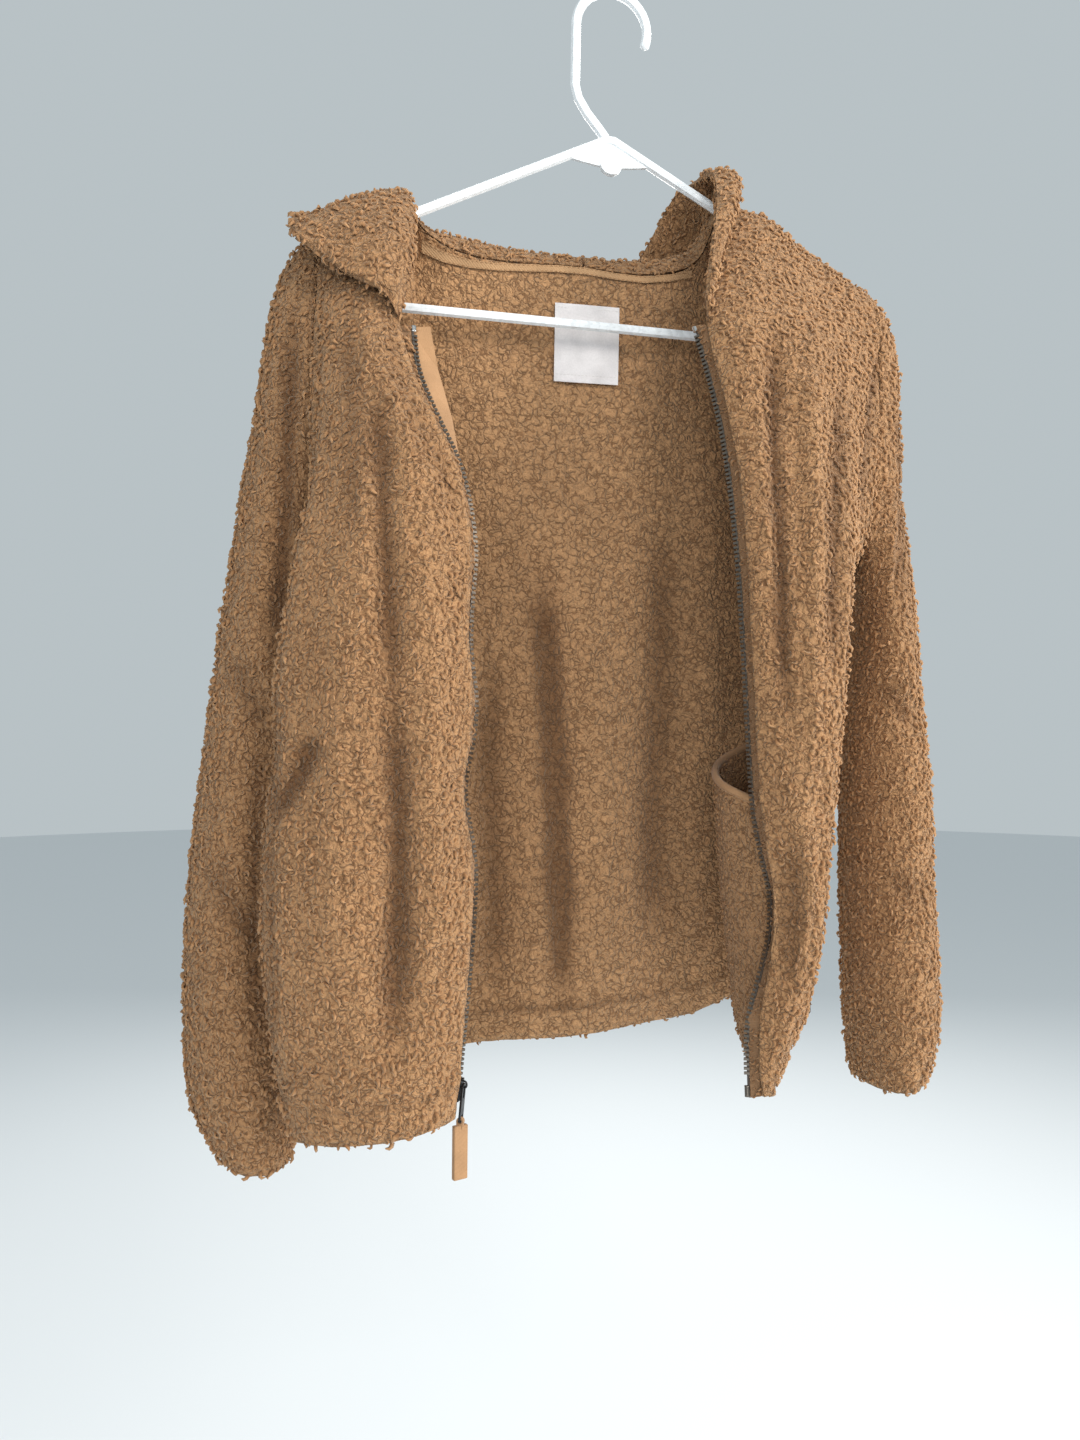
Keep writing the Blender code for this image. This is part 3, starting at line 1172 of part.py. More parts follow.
def hanger(collection):
    """One-piece hanger: a loop of arms and bar, a hook, and a gusset with a boss under the apex."""
    vertex = (APEX_Z - BAR_Z) / ARM_SLOPE  # where an arm's line would meet the bar's
    slope = math.atan(ARM_SLOPE)
    tangent = END_R / math.tan(slope / 2)
    end = (vertex - tangent, BAR_Z + END_R)
    left = arc(end, END_R, math.pi / 2 - slope, -math.pi / 2, 11)
    right = [(-x, y, z) for x, y, z in left[::-1]]
    apex = [(-3.0, 0.0, APEX_Z - 1.5), (3.0, 0.0, APEX_Z - 1.5)]
    loop = curve_tube("hanger", mm(leaned(apex + left + right)), mm(TUBE_R), True, collection)
    # The hook: its inside top is the origin, so its centreline is a tube radius above.
    centre = (0.0, TUBE_R - HOOK_R)
    hook = arc(centre, HOOK_R, math.radians(-16), math.radians(180), 22)
    rounding = arc(centre, HOOK_R, math.radians(-25), math.radians(-16), 5)[:-1]
    stem_x = -HOOK_R
    bend = [
        (stem_x, 0.0, HOOK_STEM_Z + 20),
        (stem_x, 0.0, HOOK_STEM_Z),
        (stem_x + 2.5, 0.0, HOOK_STEM_Z - 9),
        (stem_x + 9, 0.0, HOOK_STEM_Z - 19),
        (stem_x + 18, 0.0, HOOK_STEM_Z - 29),
        (-3.0, 0.0, APEX_Z),
    ]
    hook_line = mm(leaned(rounding + hook + bend))
    hook_tube = curve_tube("hook", hook_line, mm(TUBE_R), False, collection, (0.3, 0.7, 0.9, 1.0))
    # The gusset fills the corner under the apex, from arm to arm.
    reach = 32.0
    drop = ARM_SLOPE * reach
    web_points = [
        (-reach, APEX_Z - drop - 0.5),
        (-reach * 0.62, APEX_Z - drop - 2.5),
        (-8, APEX_Z - drop - 4),
        (8, APEX_Z - drop - 4),
        (reach * 0.62, APEX_Z - drop - 2.5),
        (reach, APEX_Z - drop - 0.5),
        (0, APEX_Z + 1.0),
    ]
    web = outline_solid("web", [mm(web_points)], float(mm(2.4)), collection)
    boss = bmesh.new()
    bmesh.ops.create_cone(
        boss,
        cap_ends=True,
        segments=20,
        radius1=float(mm(8.5)),
        radius2=float(mm(8.5)),
        depth=float(mm(4.4)),
    )
    boss_mesh = bpy.data.meshes.new("boss")
    boss.to_mesh(boss_mesh)
    boss.free()
    boss_object = bpy.data.objects.new("boss", boss_mesh)
    collection.objects.link(boss_object)
    upright = Matrix.Rotation(LEAN, 4, "Y") @ Matrix.Rotation(math.radians(90), 4, "X")
    web.data.transform(upright)
    boss_object.data.transform(Matrix.Translation(Vector(mm((-1, 0, -118)))) @ upright)
    unite(loop, [hook_tube, web, boss_object])
    loop.data.materials.clear()
    loop.data.materials.append(material("hanger", roughness=0.3))
    loop.data.shade_smooth()
    return loop


# ---------------------------------------------------------------- zip slider, tab and puller
def slider_frame(front):
    """The slider's place on the right zip tape: its middle, and its axes width, out and down."""
    rows = slice(0, 2)
    inner, normals = front.inner[rows], front.normals[rows]
    away = unit(unit(inner[:, 0] - inner[:, 1]) - TAPE_ROLL * normals[:, 0])
    tape = inner[:, 0] + away * (TAPE_REACH - 0.6) - normals[:, 0] * (TAPE_GAP + TAPE / 2)
    middle = tape[0] * 0.45 + tape[1] * 0.55
    down = unit(tape[0] - tape[1])
    width = unit(away[0] - (away[0] @ down) * down)
    return middle, width, np.cross(width, -down), down


def frame_matrix(origin, width, out, down):
    """A matrix whose X is width, Y is the way in (against out) and Z is up."""
    turn = Matrix((width, -out, -down)).transposed().to_4x4()
    return Matrix.Translation(Vector(mm(origin))) @ turn


def box(name, size, place, collection, bevel=0.0):
    """A box of a size at a place, both in millimetres, with its edges eased."""
    made = bmesh.new()
    bmesh.ops.create_cube(made, size=1.0)
    for vert in made.verts:
        vert.co = Vector(mm([vert.co[i] * size[i] + place[i] for i in range(3)]))
    if bevel:
        bmesh.ops.bevel(
            made,
            geom=made.edges[:],
            offset=float(mm(bevel)),
            segments=2,
            profile=0.5,
            affect="EDGES",
        )
    mesh = bpy.data.meshes.new(name)
    made.to_mesh(mesh)
    made.free()
    placed = bpy.data.objects.new(name, mesh)
    collection.objects.link(placed)
    return placed


def rounded_outline(width, low, high, radius, steps=4):
    """A rounded rectangle's points, centred on X, between two heights."""
    points = []
    corners = ((1, high, 0), (-1, high, 1), (-1, low, 2), (1, low, 3))
    for sign, z, quarter in corners:
        inward = 1 if z == low else -1
        centre = (sign * (width / 2 - radius), z + inward * radius)
        for k in range(steps + 1):
            angle = (quarter + k / steps) * math.pi / 2
            points.append((centre[0] + radius * math.cos(angle), centre[1] + radius * math.sin(angle)))
    return mm(points)


def slider_and_pull(front, collection):
    """The slider with its bail, and the pull body: tab and cloth puller, hinged on the bail."""
    tape, width, out, down = slider_frame(front)
    stack = SLIDER_SLOT / 2 + SLIDER_PLATE / 2
    face = -(SLIDER_SLOT / 2 + SLIDER_PLATE)  # the outer plate's outer face, on the frame's Y
    axis_y = face - AXIS_OVER_PLATE
    axis_z = 3.6
    plates = [
        box("slider", (SLIDER_WIDTH, SLIDER_PLATE, SLIDER_LENGTH), (0, -stack, 0), collection, 0.4),
        box("plate", (SLIDER_WIDTH, SLIDER_PLATE, SLIDER_LENGTH), (0, stack, 0), collection, 0.4),
        box("bridge", (2.0, SLIDER_SLOT + 1.0, 6.0), (2.9, 0, 2.8), collection),
    ]
    reach = 1.5 + BAIL_WIRE
    bail_path = [(0, face + 0.5, axis_z + reach)]
    bail_path += [
        (0, axis_y - 0.3 - 1.7 * math.sin(a), axis_z + reach * math.cos(a))
        for a in np.linspace(0, math.pi, 9)
    ]
    bail_path.append((0, face + 0.5, axis_z - reach))
    bail = curve_tube("bail", mm(bail_path), float(mm(BAIL_WIRE)), False, collection)
    unite(plates[0], [*plates[1:], bail])
    slider = plates[0]
    top = 0.7
    tab_loops = [
        rounded_outline(TAB_WIDTH, top - TAB_LENGTH, top, 1.6),
        rounded_outline(2.6, top - 9.0, -top, 0.9),
        rounded_outline(3.4, top - TAB_LENGTH + 1.5, top - TAB_LENGTH + 4.7, 0.6),
    ]
    tab = outline_solid("pull_tab", tab_loops, float(mm(TAB_THICK)), collection)
    tab.data.transform(Matrix.Rotation(math.radians(90), 4, "X"))
    tab_foot = top - TAB_LENGTH
    bar_z = tab_foot + 0.75
    ring_outer = [(2.3 * math.cos(a), bar_z + 2.4 * math.sin(a)) for a in np.linspace(0, math.pi, 9)]
    ring_outer += [(-1.75, bar_z - 4.6), (1.75, bar_z - 4.6)]
    ring_hole = [
        (1.4 * math.cos(a), bar_z + 1.4 * math.sin(a)) for a in np.linspace(0, 2 * math.pi, 13)[:-1]
    ]
    loop = outline_solid("puller", [mm(ring_outer), mm(ring_hole)], float(mm(2.8)), collection)
    side_on = Matrix.Rotation(math.radians(90), 4, "Z") @ Matrix.Rotation(math.radians(90), 4, "X")
    loop.data.transform(side_on)
    strap_top = bar_z - 2.4
    strap = box(
        "strap",
        (PULLER_WIDTH, PULLER_THICK, PULLER_LENGTH - 3.0),
        (0, 0, strap_top - (PULLER_LENGTH - 3.0) / 2),
        collection,
        0.7,
    )
    hang = Matrix.Translation((0, 0, float(mm(strap_top))))
    sway = Matrix.Rotation(math.radians(PULLER_SWAY), 4, "X")
    twist = Matrix.Rotation(math.radians(PULLER_TWIST), 4, "Z")
    strap.data.transform(hang @ sway @ twist @ hang.inverted())
    unite(loop, [strap])
    place = frame_matrix(tape, width, out, down)
    slider.data.transform(place)
    hinge_place = place @ Matrix.Translation(Vector(mm((0, axis_y, axis_z))))
    hinge = bpy.data.objects.new("pull_hinge", None)
    collection.objects.link(hinge)
    hinge.matrix_world = hinge_place
    for piece, finish in ((tab, material("metal", 0.4, 0.8)), (loop, material("twill"))):
        piece.data.materials.clear()
        piece.data.materials.append(finish)
        piece.parent = hinge
    slider.data.materials.clear()
    slider.data.materials.append(material("metal", 0.4, 0.8))
    return slider, tab, loop


# ---------------------------------------------------------------- the jacket
def main():
    """Builds every piece."""
    for old in list(bpy.data.objects):
        bpy.data.objects.remove(old)
    collection = bpy.data.collections.new("fleece_jacket")
    bpy.context.scene.collection.children.link(collection)
    cloths = shell()
    thin_tight_bends(cloths)
    zip_tapes(cloths, collection)
    neck_tape(cloths["back"], collection)
    label(cloths["back"], collection)
    pocket_bags(cloths, collection)
    slider_and_pull(cloths["front_right"], collection)
    draw_back_seams(cloths)
    for name, cloth in cloths.items():
        cloth_object(name, cloth, material("fleece"), collection, closed=name.startswith("sleeve"))
    hanger(collection)


main()
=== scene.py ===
"""Curly fleece jacket with a hood, open at its zip, on a one-piece tubular hanger: the finished looks.

The frame holds the jacket's cloth panels, tapes, hanger and zip pull at their real size, in metres, with the
origin at the inside top of the hanger's hook. -Y is the front, +Z is up, and left and right are the wearer's.
"""

from __future__ import annotations

import json
import logging
import math
from dataclasses import dataclass, field, replace
from enum import Enum
from typing import Any, ClassVar, Sequence

import bmesh
import bpy
import numpy as np
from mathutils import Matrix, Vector, noise

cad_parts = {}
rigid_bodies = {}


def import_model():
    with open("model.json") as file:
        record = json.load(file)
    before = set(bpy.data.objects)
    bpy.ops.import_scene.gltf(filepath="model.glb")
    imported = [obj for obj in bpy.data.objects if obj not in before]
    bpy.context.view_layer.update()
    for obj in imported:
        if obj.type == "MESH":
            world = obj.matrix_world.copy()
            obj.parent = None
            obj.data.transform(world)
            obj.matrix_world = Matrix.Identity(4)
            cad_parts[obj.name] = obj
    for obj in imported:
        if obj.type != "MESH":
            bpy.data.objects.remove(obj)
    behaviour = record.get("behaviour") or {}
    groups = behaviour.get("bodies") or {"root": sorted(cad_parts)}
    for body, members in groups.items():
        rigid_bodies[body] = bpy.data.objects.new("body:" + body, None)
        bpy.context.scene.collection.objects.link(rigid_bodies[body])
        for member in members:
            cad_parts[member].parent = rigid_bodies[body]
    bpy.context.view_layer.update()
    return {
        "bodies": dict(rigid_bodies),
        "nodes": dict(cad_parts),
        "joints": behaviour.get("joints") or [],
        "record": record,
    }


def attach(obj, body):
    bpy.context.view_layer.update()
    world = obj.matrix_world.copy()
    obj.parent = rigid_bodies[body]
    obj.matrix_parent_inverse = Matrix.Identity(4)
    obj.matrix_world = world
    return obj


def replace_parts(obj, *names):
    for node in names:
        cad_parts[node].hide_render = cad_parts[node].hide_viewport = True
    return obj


LOG = logging.getLogger("fleece_jacket")
MM = 0.001
JACKET = "jacket"

Colour = tuple[float, float, float]
Point = tuple[float, float, float]

FRAME: dict[str, Any] = {}
FORWARD: Point = (0.0, -1.0, 0.0)
BEHIND: Point = (0.0, 1.0, 0.0)


def srgb(red: float, green: float, blue: float) -> Colour:
    """A display colour, 0 to 255, as the linear colour that shaders take.

    Args:
        red, green, blue: the display values.

    Returns:
        The same colour in linear light.
    """
    shares = (value / 255 for value in (red, green, blue))
    return tuple(s / 12.92 if s <= 0.04045 else ((s + 0.055) / 1.055) ** 2.4 for s in shares)


# ---------------------------------------------------------------- node trees


class Graph:
    """A node tree that is filled by short calls."""

    def __init__(self, tree: bpy.types.NodeTree) -> None:
        """Takes the tree to fill."""
        self.tree = tree

    def add(self, kind: str, inputs: dict[str | int, Any] | None = None, **settings: Any) -> bpy.types.Node:
        """Adds a node.

        Args:
            kind: the node's type name.
            inputs: a value, or an output socket to link, for each input by name or place.
            settings: the node's own properties.

        Returns:
            The new node.
        """
        node = self.tree.nodes.new(kind)
        for name, value in settings.items():
            setattr(node, name, value)
        for key, value in (inputs or {}).items():
            self.feed(node.inputs[key], value)
        return node

    def feed(self, socket: bpy.types.NodeSocket, value: Any) -> None:
        """Links an output to a socket, or sets the socket's plain value.

        Args:
            socket: the input.
            value: an output socket, a number, or a colour of three parts.
        """
        if isinstance(value, bpy.types.NodeSocket):
            self.tree.links.new(value, socket)
        elif isinstance(value, tuple) and socket.type == "RGBA" and len(value) == 3:
            socket.default_value = (*value, 1.0)
        else:
            socket.default_value = value

    def math(self, operation: str, *values: Any, clamp: bool = False) -> bpy.types.NodeSocket:
        """A Math node's result for one to three values or sockets."""
        node = self.add("ShaderNodeMath", dict(enumerate(values)), operation=operation, use_clamp=clamp)
        return node.outputs[0]

    def vector(self, operation: str, *values: Any) -> bpy.types.NodeSocket:
        """A Vector Math node's vector result.

        Args:
            operation: what it does.
            values: its vectors or, for SCALE, a vector and a number.

        Returns:
            The result.
        """
        node = self.add("ShaderNodeVectorMath", operation=operation)
        places = {"SCALE": (0, 3)}.get(operation, range(len(values)))
        for place, value in zip(places, values):
            self.feed(node.inputs[place], value)
        return node.outputs[0]

    def spread(self, value: Any, low: float, high: float, to_low: float = 0.0, to_high: float = 1.0) -> Any:
        """Maps a value in an even S from one range to another, and holds it at the ends.

        Args:
            value: the value or socket.
            low, high: the range that it comes from.
            to_low, to_high: the range that it goes to.

        Returns:
            The mapped value.
        """
        node = self.add(
            "ShaderNodeMapRange",
            {"Value": value, "From Min": low, "From Max": high, "To Min": to_low, "To Max": to_high},
            interpolation_type="SMOOTHSTEP",
        )
        return node.outputs[0]

    def blend(self, share: Any, first: Any, second: Any) -> bpy.types.NodeSocket:
        """A colour between two colours.

        Args:
            share: 0 for the first, 1 for the second.
            first, second: the colours.

        Returns:
            The blend.
        """
        node = self.add("ShaderNodeMix", data_type="RGBA")
        for place, value in ((0, share), (6, first), (7, second)):
            self.feed(node.inputs[place], value)
        return node.outputs[2]

    def noise(self, place: Any, scale: float, detail: float, distortion: float = 0.0) -> bpy.types.NodeSocket:
        """A cloudy noise, 0 to 1, with clouds about 1 / scale metres across."""
        inputs = {"Vector": place, "Scale": scale, "Detail": detail, "Distortion": distortion}
        return self.add("ShaderNodeTexNoise", inputs).outputs["Fac"]

    def attribute(self, name: str) -> bpy.types.NodeSocket:
        """A mesh attribute's value, in a material."""
        return self.add("ShaderNodeAttribute", attribute_name=name).outputs["Fac"]

    def stored(self, name: str, kind: str) -> bpy.types.NodeSocket:
        """A mesh attribute's value, in a Geometry Nodes tree."""
        return self.add("GeometryNodeInputNamedAttribute", {"Name": name}, data_type=kind).outputs[0]

    def random_number(self, low: float, high: float, seed: Any) -> bpy.types.NodeSocket:
        """A random number from low to high for each element."""
        inputs = {2: low, 3: high, "Seed": seed}
        return self.add("FunctionNodeRandomValue", inputs, data_type="FLOAT").outputs[1]

    def random_vector(self, seed: Any) -> bpy.types.NodeSocket:
        """A random vector for each element, with parts from -1 to 1."""
        inputs = {"Min": (-1.0, -1.0, -1.0), "Max": (1.0, 1.0, 1.0), "Seed": seed}
        return self.add("FunctionNodeRandomValue", inputs, data_type="FLOAT_VECTOR").outputs[0]

    def turned(self, run: Any, side: Any) -> bpy.types.NodeSocket:
        """A rotation that points Z along one vector and then turns X towards another.

        Args:
            run: where Z points.
            side: where X turns to.

        Returns:
            The rotation.
        """
        upright = self.add("FunctionNodeAlignRotationToVector", {"Vector": run}, axis="Z").outputs[0]
        inputs = {"Rotation": upright, "Vector": side}
        return self.add("FunctionNodeAlignRotationToVector", inputs, axis="X", pivot_axis="Z").outputs[0]

    def finished(self, instances: Any, smooth: bool, material: bpy.types.Material) -> bpy.types.NodeSocket:
        """Instances made real, shaded and given their material.

        Args:
            instances: the instances.
            smooth: whether their faces are shaded smooth.
            material: their material.

        Returns:
            The geometry.
        """
        real = self.add("GeometryNodeRealizeInstances", {"Geometry": instances})
        shaded = self.add("GeometryNodeSetShadeSmooth", {"Geometry": real.outputs[0], "Shade Smooth": smooth})
        inputs = {"Geometry": shaded.outputs[0], "Material": material}
        return self.add("GeometryNodeSetMaterial", inputs).outputs[0]


def new_tree(name: str, takes: dict[str, str], gives: str) -> Graph:
    """An empty Geometry Nodes tree with its sockets.

    Args:
        name: the tree's name.
        takes: the kind of each input, such as Float, by the input's name.
        gives: the name of the geometry that comes out.

    Returns:
        The tree's graph.
    """
    tree = bpy.data.node_groups.new(name, "GeometryNodeTree")
    for socket, kind in takes.items():
        tree.interface.new_socket(socket, in_out="INPUT", socket_type=f"NodeSocket{kind}")
    tree.interface.new_socket(gives, in_out="OUTPUT", socket_type="NodeSocketGeometry")
    return Graph(tree)


class Finish:
    """What every finish shares: a material with one Principled shader."""

    name: str

    def start(self, roughness: float, **surface: Any) -> tuple[bpy.types.Material, Graph, bpy.types.Node]:
        """A new material.

        Args:
            roughness: the surface's roughness.
            surface: the shader's other fixed sockets, with _ for a space.

        Returns:
            The material, its graph and its shader.
        """
        material = bpy.data.materials.new(self.name)
        material.use_nodes = True
        graph = Graph(material.node_tree)
        shader = material.node_tree.nodes["Principled BSDF"]
        shader.inputs["Roughness"].default_value = roughness
        for name, value in surface.items():
            graph.feed(shader.inputs[name.replace("_", " ")], value)
        return material, graph, shader

    @staticmethod
    def place(graph: Graph) -> bpy.types.NodeSocket:
        """The surface point's own place on the object."""
        return graph.add("ShaderNodeTexCoord").outputs["Object"]

    @staticmethod
    def bump(graph: Graph, shader: bpy.types.Node, height: Any, depth: float) -> None:
        """Feeds a height, 0 to 1, to the shader's normal, at a depth in metres."""
        node = graph.add("ShaderNodeBump", {"Height": height, "Distance": depth, "Strength": 1.0})
        graph.feed(shader.inputs["Normal"], node.outputs[0])


@dataclass(frozen=True)
class FleeceFinish(Finish):
    """The fleece's ground: rounded clumps of pile, and dark, broken arcs of painted shade where they part and
    where the cloth folds in.
    """

    name: str
    crest: Colour
    # The crevice colour is painted shade, which the arcs and the folds darken towards.
    crevice_shade: Colour
    clump: float  # metres across a clump
    relief: float  # metres from crevice to crest
    dark: float = 0.8  # how dark the painted shade in the arcs is, 0 to 1
    shade_in_fold: float = 0.3  # the share of the crest's colour that the painted shade leaves where the cloth folds in

    def build(self) -> bpy.types.Material:
        """Makes the material.

        Returns:
            The material.
        """
        material, graph, shader = self.start(
            0.95, Sheen_Weight=0.25, Sheen_Roughness=0.5, Sheen_Tint=(1.0, 0.8, 0.6), Specular_IOR_Level=0.15
        )
        place = self.place(graph)
        swirl = graph.add("ShaderNodeTexNoise", {"Vector": place, "Scale": 0.7 / self.clump, "Detail": 2.0})
        offset = graph.vector("SUBTRACT", swirl.outputs["Color"], (0.5, 0.5, 0.5))
        bent = graph.vector("ADD", place, graph.vector("SCALE", offset, 2.0 * self.clump))
        fibres = graph.noise(bent, 2.4 / self.clump, 3.0, 1.0)
        arcs, domes = self.clumps(graph, bent, self.clump, 0.48)
        small, beads = self.clumps(graph, bent, 0.55 * self.clump, 0.4)
        height = graph.math("MULTIPLY_ADD", beads, 0.3, graph.math("MULTIPLY", domes, 0.8))
        height = graph.math("MULTIPLY_ADD", fibres, 0.3, height)
        tone = graph.spread(graph.noise(place, 14.0, 2.0), 0.3, 0.7, 0.92, 1.04)
        colour = graph.math("MULTIPLY", graph.spread(fibres, 0.3, 0.7, 0.78, 1.0), tone)
        # Painted shade in the crevices: darker along the arcs between the small and the large clumps.
        colour = graph.math("MULTIPLY", colour, graph.spread(small, 0.0, 1.0, 1.0 - 0.5 * self.dark, 1.0))
        colour = graph.math("MULTIPLY", colour, graph.spread(arcs, 0.0, 1.0, 1.0 - self.dark, 1.0))
        # Painted shade where the creases and the hem's seam fold the cloth in.
        fold = graph.spread(graph.attribute("fold"), 0.0, 1.0, 1.0, self.shade_in_fold)
        colour = graph.math("MULTIPLY", colour, fold)
        graph.feed(shader.inputs["Base Color"], graph.blend(colour, self.crevice_shade, self.crest))
        self.bump(graph, shader, height, self.relief)
        return material

    @staticmethod
    def clumps(graph: Graph, place: Any, size: float, hidden: float) -> tuple[Any, Any]:
        """Rounded clumps of pile.

        Args:
            graph: the material's graph.
            place: the surface point's place.
            size: metres across a clump.
            hidden: the noise level, 0 to 1, above which the arcs between the clumps fade out.

        Returns:
            The arcs, 0 on an arc and 1 elsewhere, which carry the painted shade between the clumps, and the
            clumps' height.
        """
        cells = {"Vector": place, "Scale": 1.0 / size}
        edge = graph.add("ShaderNodeTexVoronoi", cells, feature="DISTANCE_TO_EDGE").outputs["Distance"]
        shade = graph.add("ShaderNodeTexVoronoi", cells).outputs["Color"]
        part = graph.spread(graph.noise(place, 0.9 / size, 1.0), hidden, hidden + 0.14)
        arcs = graph.math("MAXIMUM", graph.spread(edge, 0.0, 0.16), part)
        tall = graph.math("MULTIPLY", graph.add("ShaderNodeSeparateColor", {"Color": shade}).outputs[0], 0.45)
        domes = graph.math("MULTIPLY_ADD", graph.spread(edge, 0.0, 0.4), 0.55, tall)
        return arcs, graph.math("MULTIPLY", domes, graph.spread(arcs, 0.0, 1.0, 0.6, 1.0))


@dataclass(frozen=True)
class LockFinish(Finish):
    """Curls that stand on the ground: painted shade at the root, painted light at the tip, and painted shade
    where the cloth folds in.
    """

    name: str
    # The root's colour is painted shade at the foot of a lock, and the tip's colour painted light at its end.
    root: Colour
    middle: Colour
    tip: Colour
    fold_shade_colour: Colour  # painted shade in the bottom of a fold
    shade_in_fold: float = 0.8  # how far a fold's bottom turns to that painted shade
    shade: float = 0.35  # how far the darkest locks turn to the root's colour

    def build(self) -> bpy.types.Material:
        """Makes the material, which reads the attributes along and tone, and the attribute of painted shade
        in the folds.

        Returns:
            The material.
        """
        material, graph, shader = self.start(
            0.9, Sheen_Weight=0.3, Sheen_Roughness=0.5, Sheen_Tint=(1.0, 0.82, 0.62), Specular_IOR_Level=0.2
        )
        along = graph.attribute("along")
        # Painted shade towards the root and painted light towards the tip, by the share along the lock.
        lower = graph.blend(graph.spread(along, 0.0, 0.45), self.root, self.middle)
        upper = graph.blend(graph.spread(along, 0.45, 1.0), lower, self.tip)
        tone = graph.spread(graph.attribute("tone"), 0.0, 1.0, 0.0, self.shade)
        shaded = graph.blend(tone, upper, self.root)
        # Painted shade in the bottom of the creases.
        fold = graph.spread(graph.attribute("fold"), 0.0, 1.0, 0.0, self.shade_in_fold)
        graph.feed(shader.inputs["Base Color"], graph.blend(fold, shaded, self.fold_shade_colour))
        self.bump(graph, shader, graph.noise(self.place(graph), 1400.0, 2.0), 0.25 * MM)
        return material


@dataclass(frozen=True)
class TwillFinish(Finish):
    """A woven tape: fine diagonal ribs and a slight unevenness of dye."""

    name: str
    colour: Colour
    rib: float  # metres from rib to rib
    slope: Point  # the direction across the ribs
    depth: float = 0.12 * MM

    def build(self) -> bpy.types.Material:
        """Makes the material.

        Returns:
            The material.
        """
        material, graph, shader = self.start(0.85, Sheen_Weight=0.15, Specular_IOR_Level=0.2)
        place = self.place(graph)
        across = graph.add("ShaderNodeVectorMath", {0: place, 1: self.slope}, operation="DOT_PRODUCT")
        wobble = graph.noise(place, 900.0, 2.0)
        turns = graph.math("MULTIPLY", across.outputs["Value"], math.tau / self.rib)
        wave = graph.math("SINE", graph.math("MULTIPLY_ADD", wobble, 1.6, turns))
        ribs = graph.math("MULTIPLY_ADD", wave, 0.35, wobble)
        patches = graph.spread(graph.noise(place, 60.0, 3.0), 0.3, 0.7, 0.0, 0.4)
        share = graph.math("ADD", graph.spread(ribs, 0.0, 0.9, 0.0, 0.45), patches)
        dark = tuple(c * 0.72 for c in self.colour)
        pale = tuple(min(1.0, c * 1.1) for c in self.colour)
        graph.feed(shader.inputs["Base Color"], graph.blend(share, dark, pale))
        self.bump(graph, shader, ribs, self.depth)
        return material


@dataclass(frozen=True)
class SolidFinish(Finish):
    """Moulded plastic, enamel or metal: one colour with a faint mottle in its gloss."""

    name: str
    colour: Colour
    roughness: float
    metallic: float = 0.0
    mottle: float = 0.06  # how far the roughness strays either way
    grain: float = 250.0  # specks to the metre
    depth: float = 0.01 * MM

    def build(self) -> bpy.types.Material:
        """Makes the material.

        Returns:
            The material.
        """
        material, graph, shader = self.start(self.roughness, Metallic=self.metallic)
        specks = graph.noise(self.place(graph), self.grain, 3.0)
        rough = graph.spread(specks, 0.3, 0.7, self.roughness - self.mottle, self.roughness + self.mottle)
        graph.feed(shader.inputs["Roughness"], rough)
        dark = tuple(c * 0.88 for c in self.colour)
        colour = graph.blend(graph.spread(specks, 0.3, 0.6), dark, self.colour)
        graph.feed(shader.inputs["Base Color"], colour)
        self.bump(graph, shader, specks, self.depth)
        return material


@dataclass(frozen=True)
class FloorPaint(Finish):
    """The plain floor's matt paint."""

    name: str
    colour: Colour

    def build(self) -> bpy.types.Material:
        """Makes the material."""
        return self.start(0.95, Base_Color=self.colour)[0]


class Finishes:
    """Every material of the jacket, made once."""

    def __init__(self) -> None:
        """Builds them."""
        # The inner face's crest colour is painted lighter than the outer face's, as painted light.
        crest, lit_inner_crest, crevice_shade = srgb(176, 134, 94), srgb(194, 149, 106), srgb(88, 57, 34)
        self.outside = FleeceFinish("fleece_outside", crest, crevice_shade, 4.6 * MM, 2.4 * MM, 0.7).build()
        self.inside = FleeceFinish("fleece_inside", lit_inner_crest, crevice_shade, 4.9 * MM, 3.0 * MM, 0.62).build()
        # The locks' root colour is painted shade and their tip colour painted light; the last colour is
        # painted shade for the bottom of a fold.
        root, middle, tip, fold_shade_colour = srgb(128, 90, 58), srgb(168, 126, 87), srgb(184, 142, 101), srgb(82, 53, 32)
        self.locks = LockFinish("fleece_locks", root, middle, tip, fold_shade_colour).build()
        slant = (0.6, 0.3, 0.7)
        self.twill = TwillFinish(
            "neck_twill", srgb(184, 146, 107), 1.4 * MM, (0.7, 0.0, 0.7), 0.2 * MM
        ).build()
        self.facing = TwillFinish("facing_cloth", srgb(176, 136, 98), 0.7 * MM, (0.3, 0.3, 0.9)).build()
        self.tape = TwillFinish("zip_tape_cloth", srgb(140, 107, 77), 0.8 * MM, (0.5, 0.5, 0.7)).build()
        self.label = TwillFinish(
            "label_cloth", srgb(232, 227, 226), 0.5 * MM, (0.0, 0.0, 1.0), 0.05 * MM
        ).build()
        self.thread = TwillFinish("thread", srgb(168, 126, 86), 0.4 * MM, slant).build()
        self.pale_thread = TwillFinish("pale_thread", srgb(222, 216, 212), 0.4 * MM, slant).build()
        # The cord's dark colour is painted shade for the gaps between the teeth.
        self.cord = SolidFinish("zip_cord_gap_shade", srgb(70, 60, 52), 0.8).build()
        self.plastic = SolidFinish("white_plastic", srgb(236, 240, 242), 0.28).build()
        self.teeth = SolidFinish("zip_metal", srgb(120, 112, 103), 0.34, metallic=1.0).build()
        self.steel = SolidFinish("stop_metal", srgb(205, 205, 203), 0.25, metallic=1.0).build()
        self.enamel = SolidFinish("black_enamel", srgb(30, 29, 30), 0.33, metallic=0.2).build()


# ---------------------------------------------------------------- mesh helpers


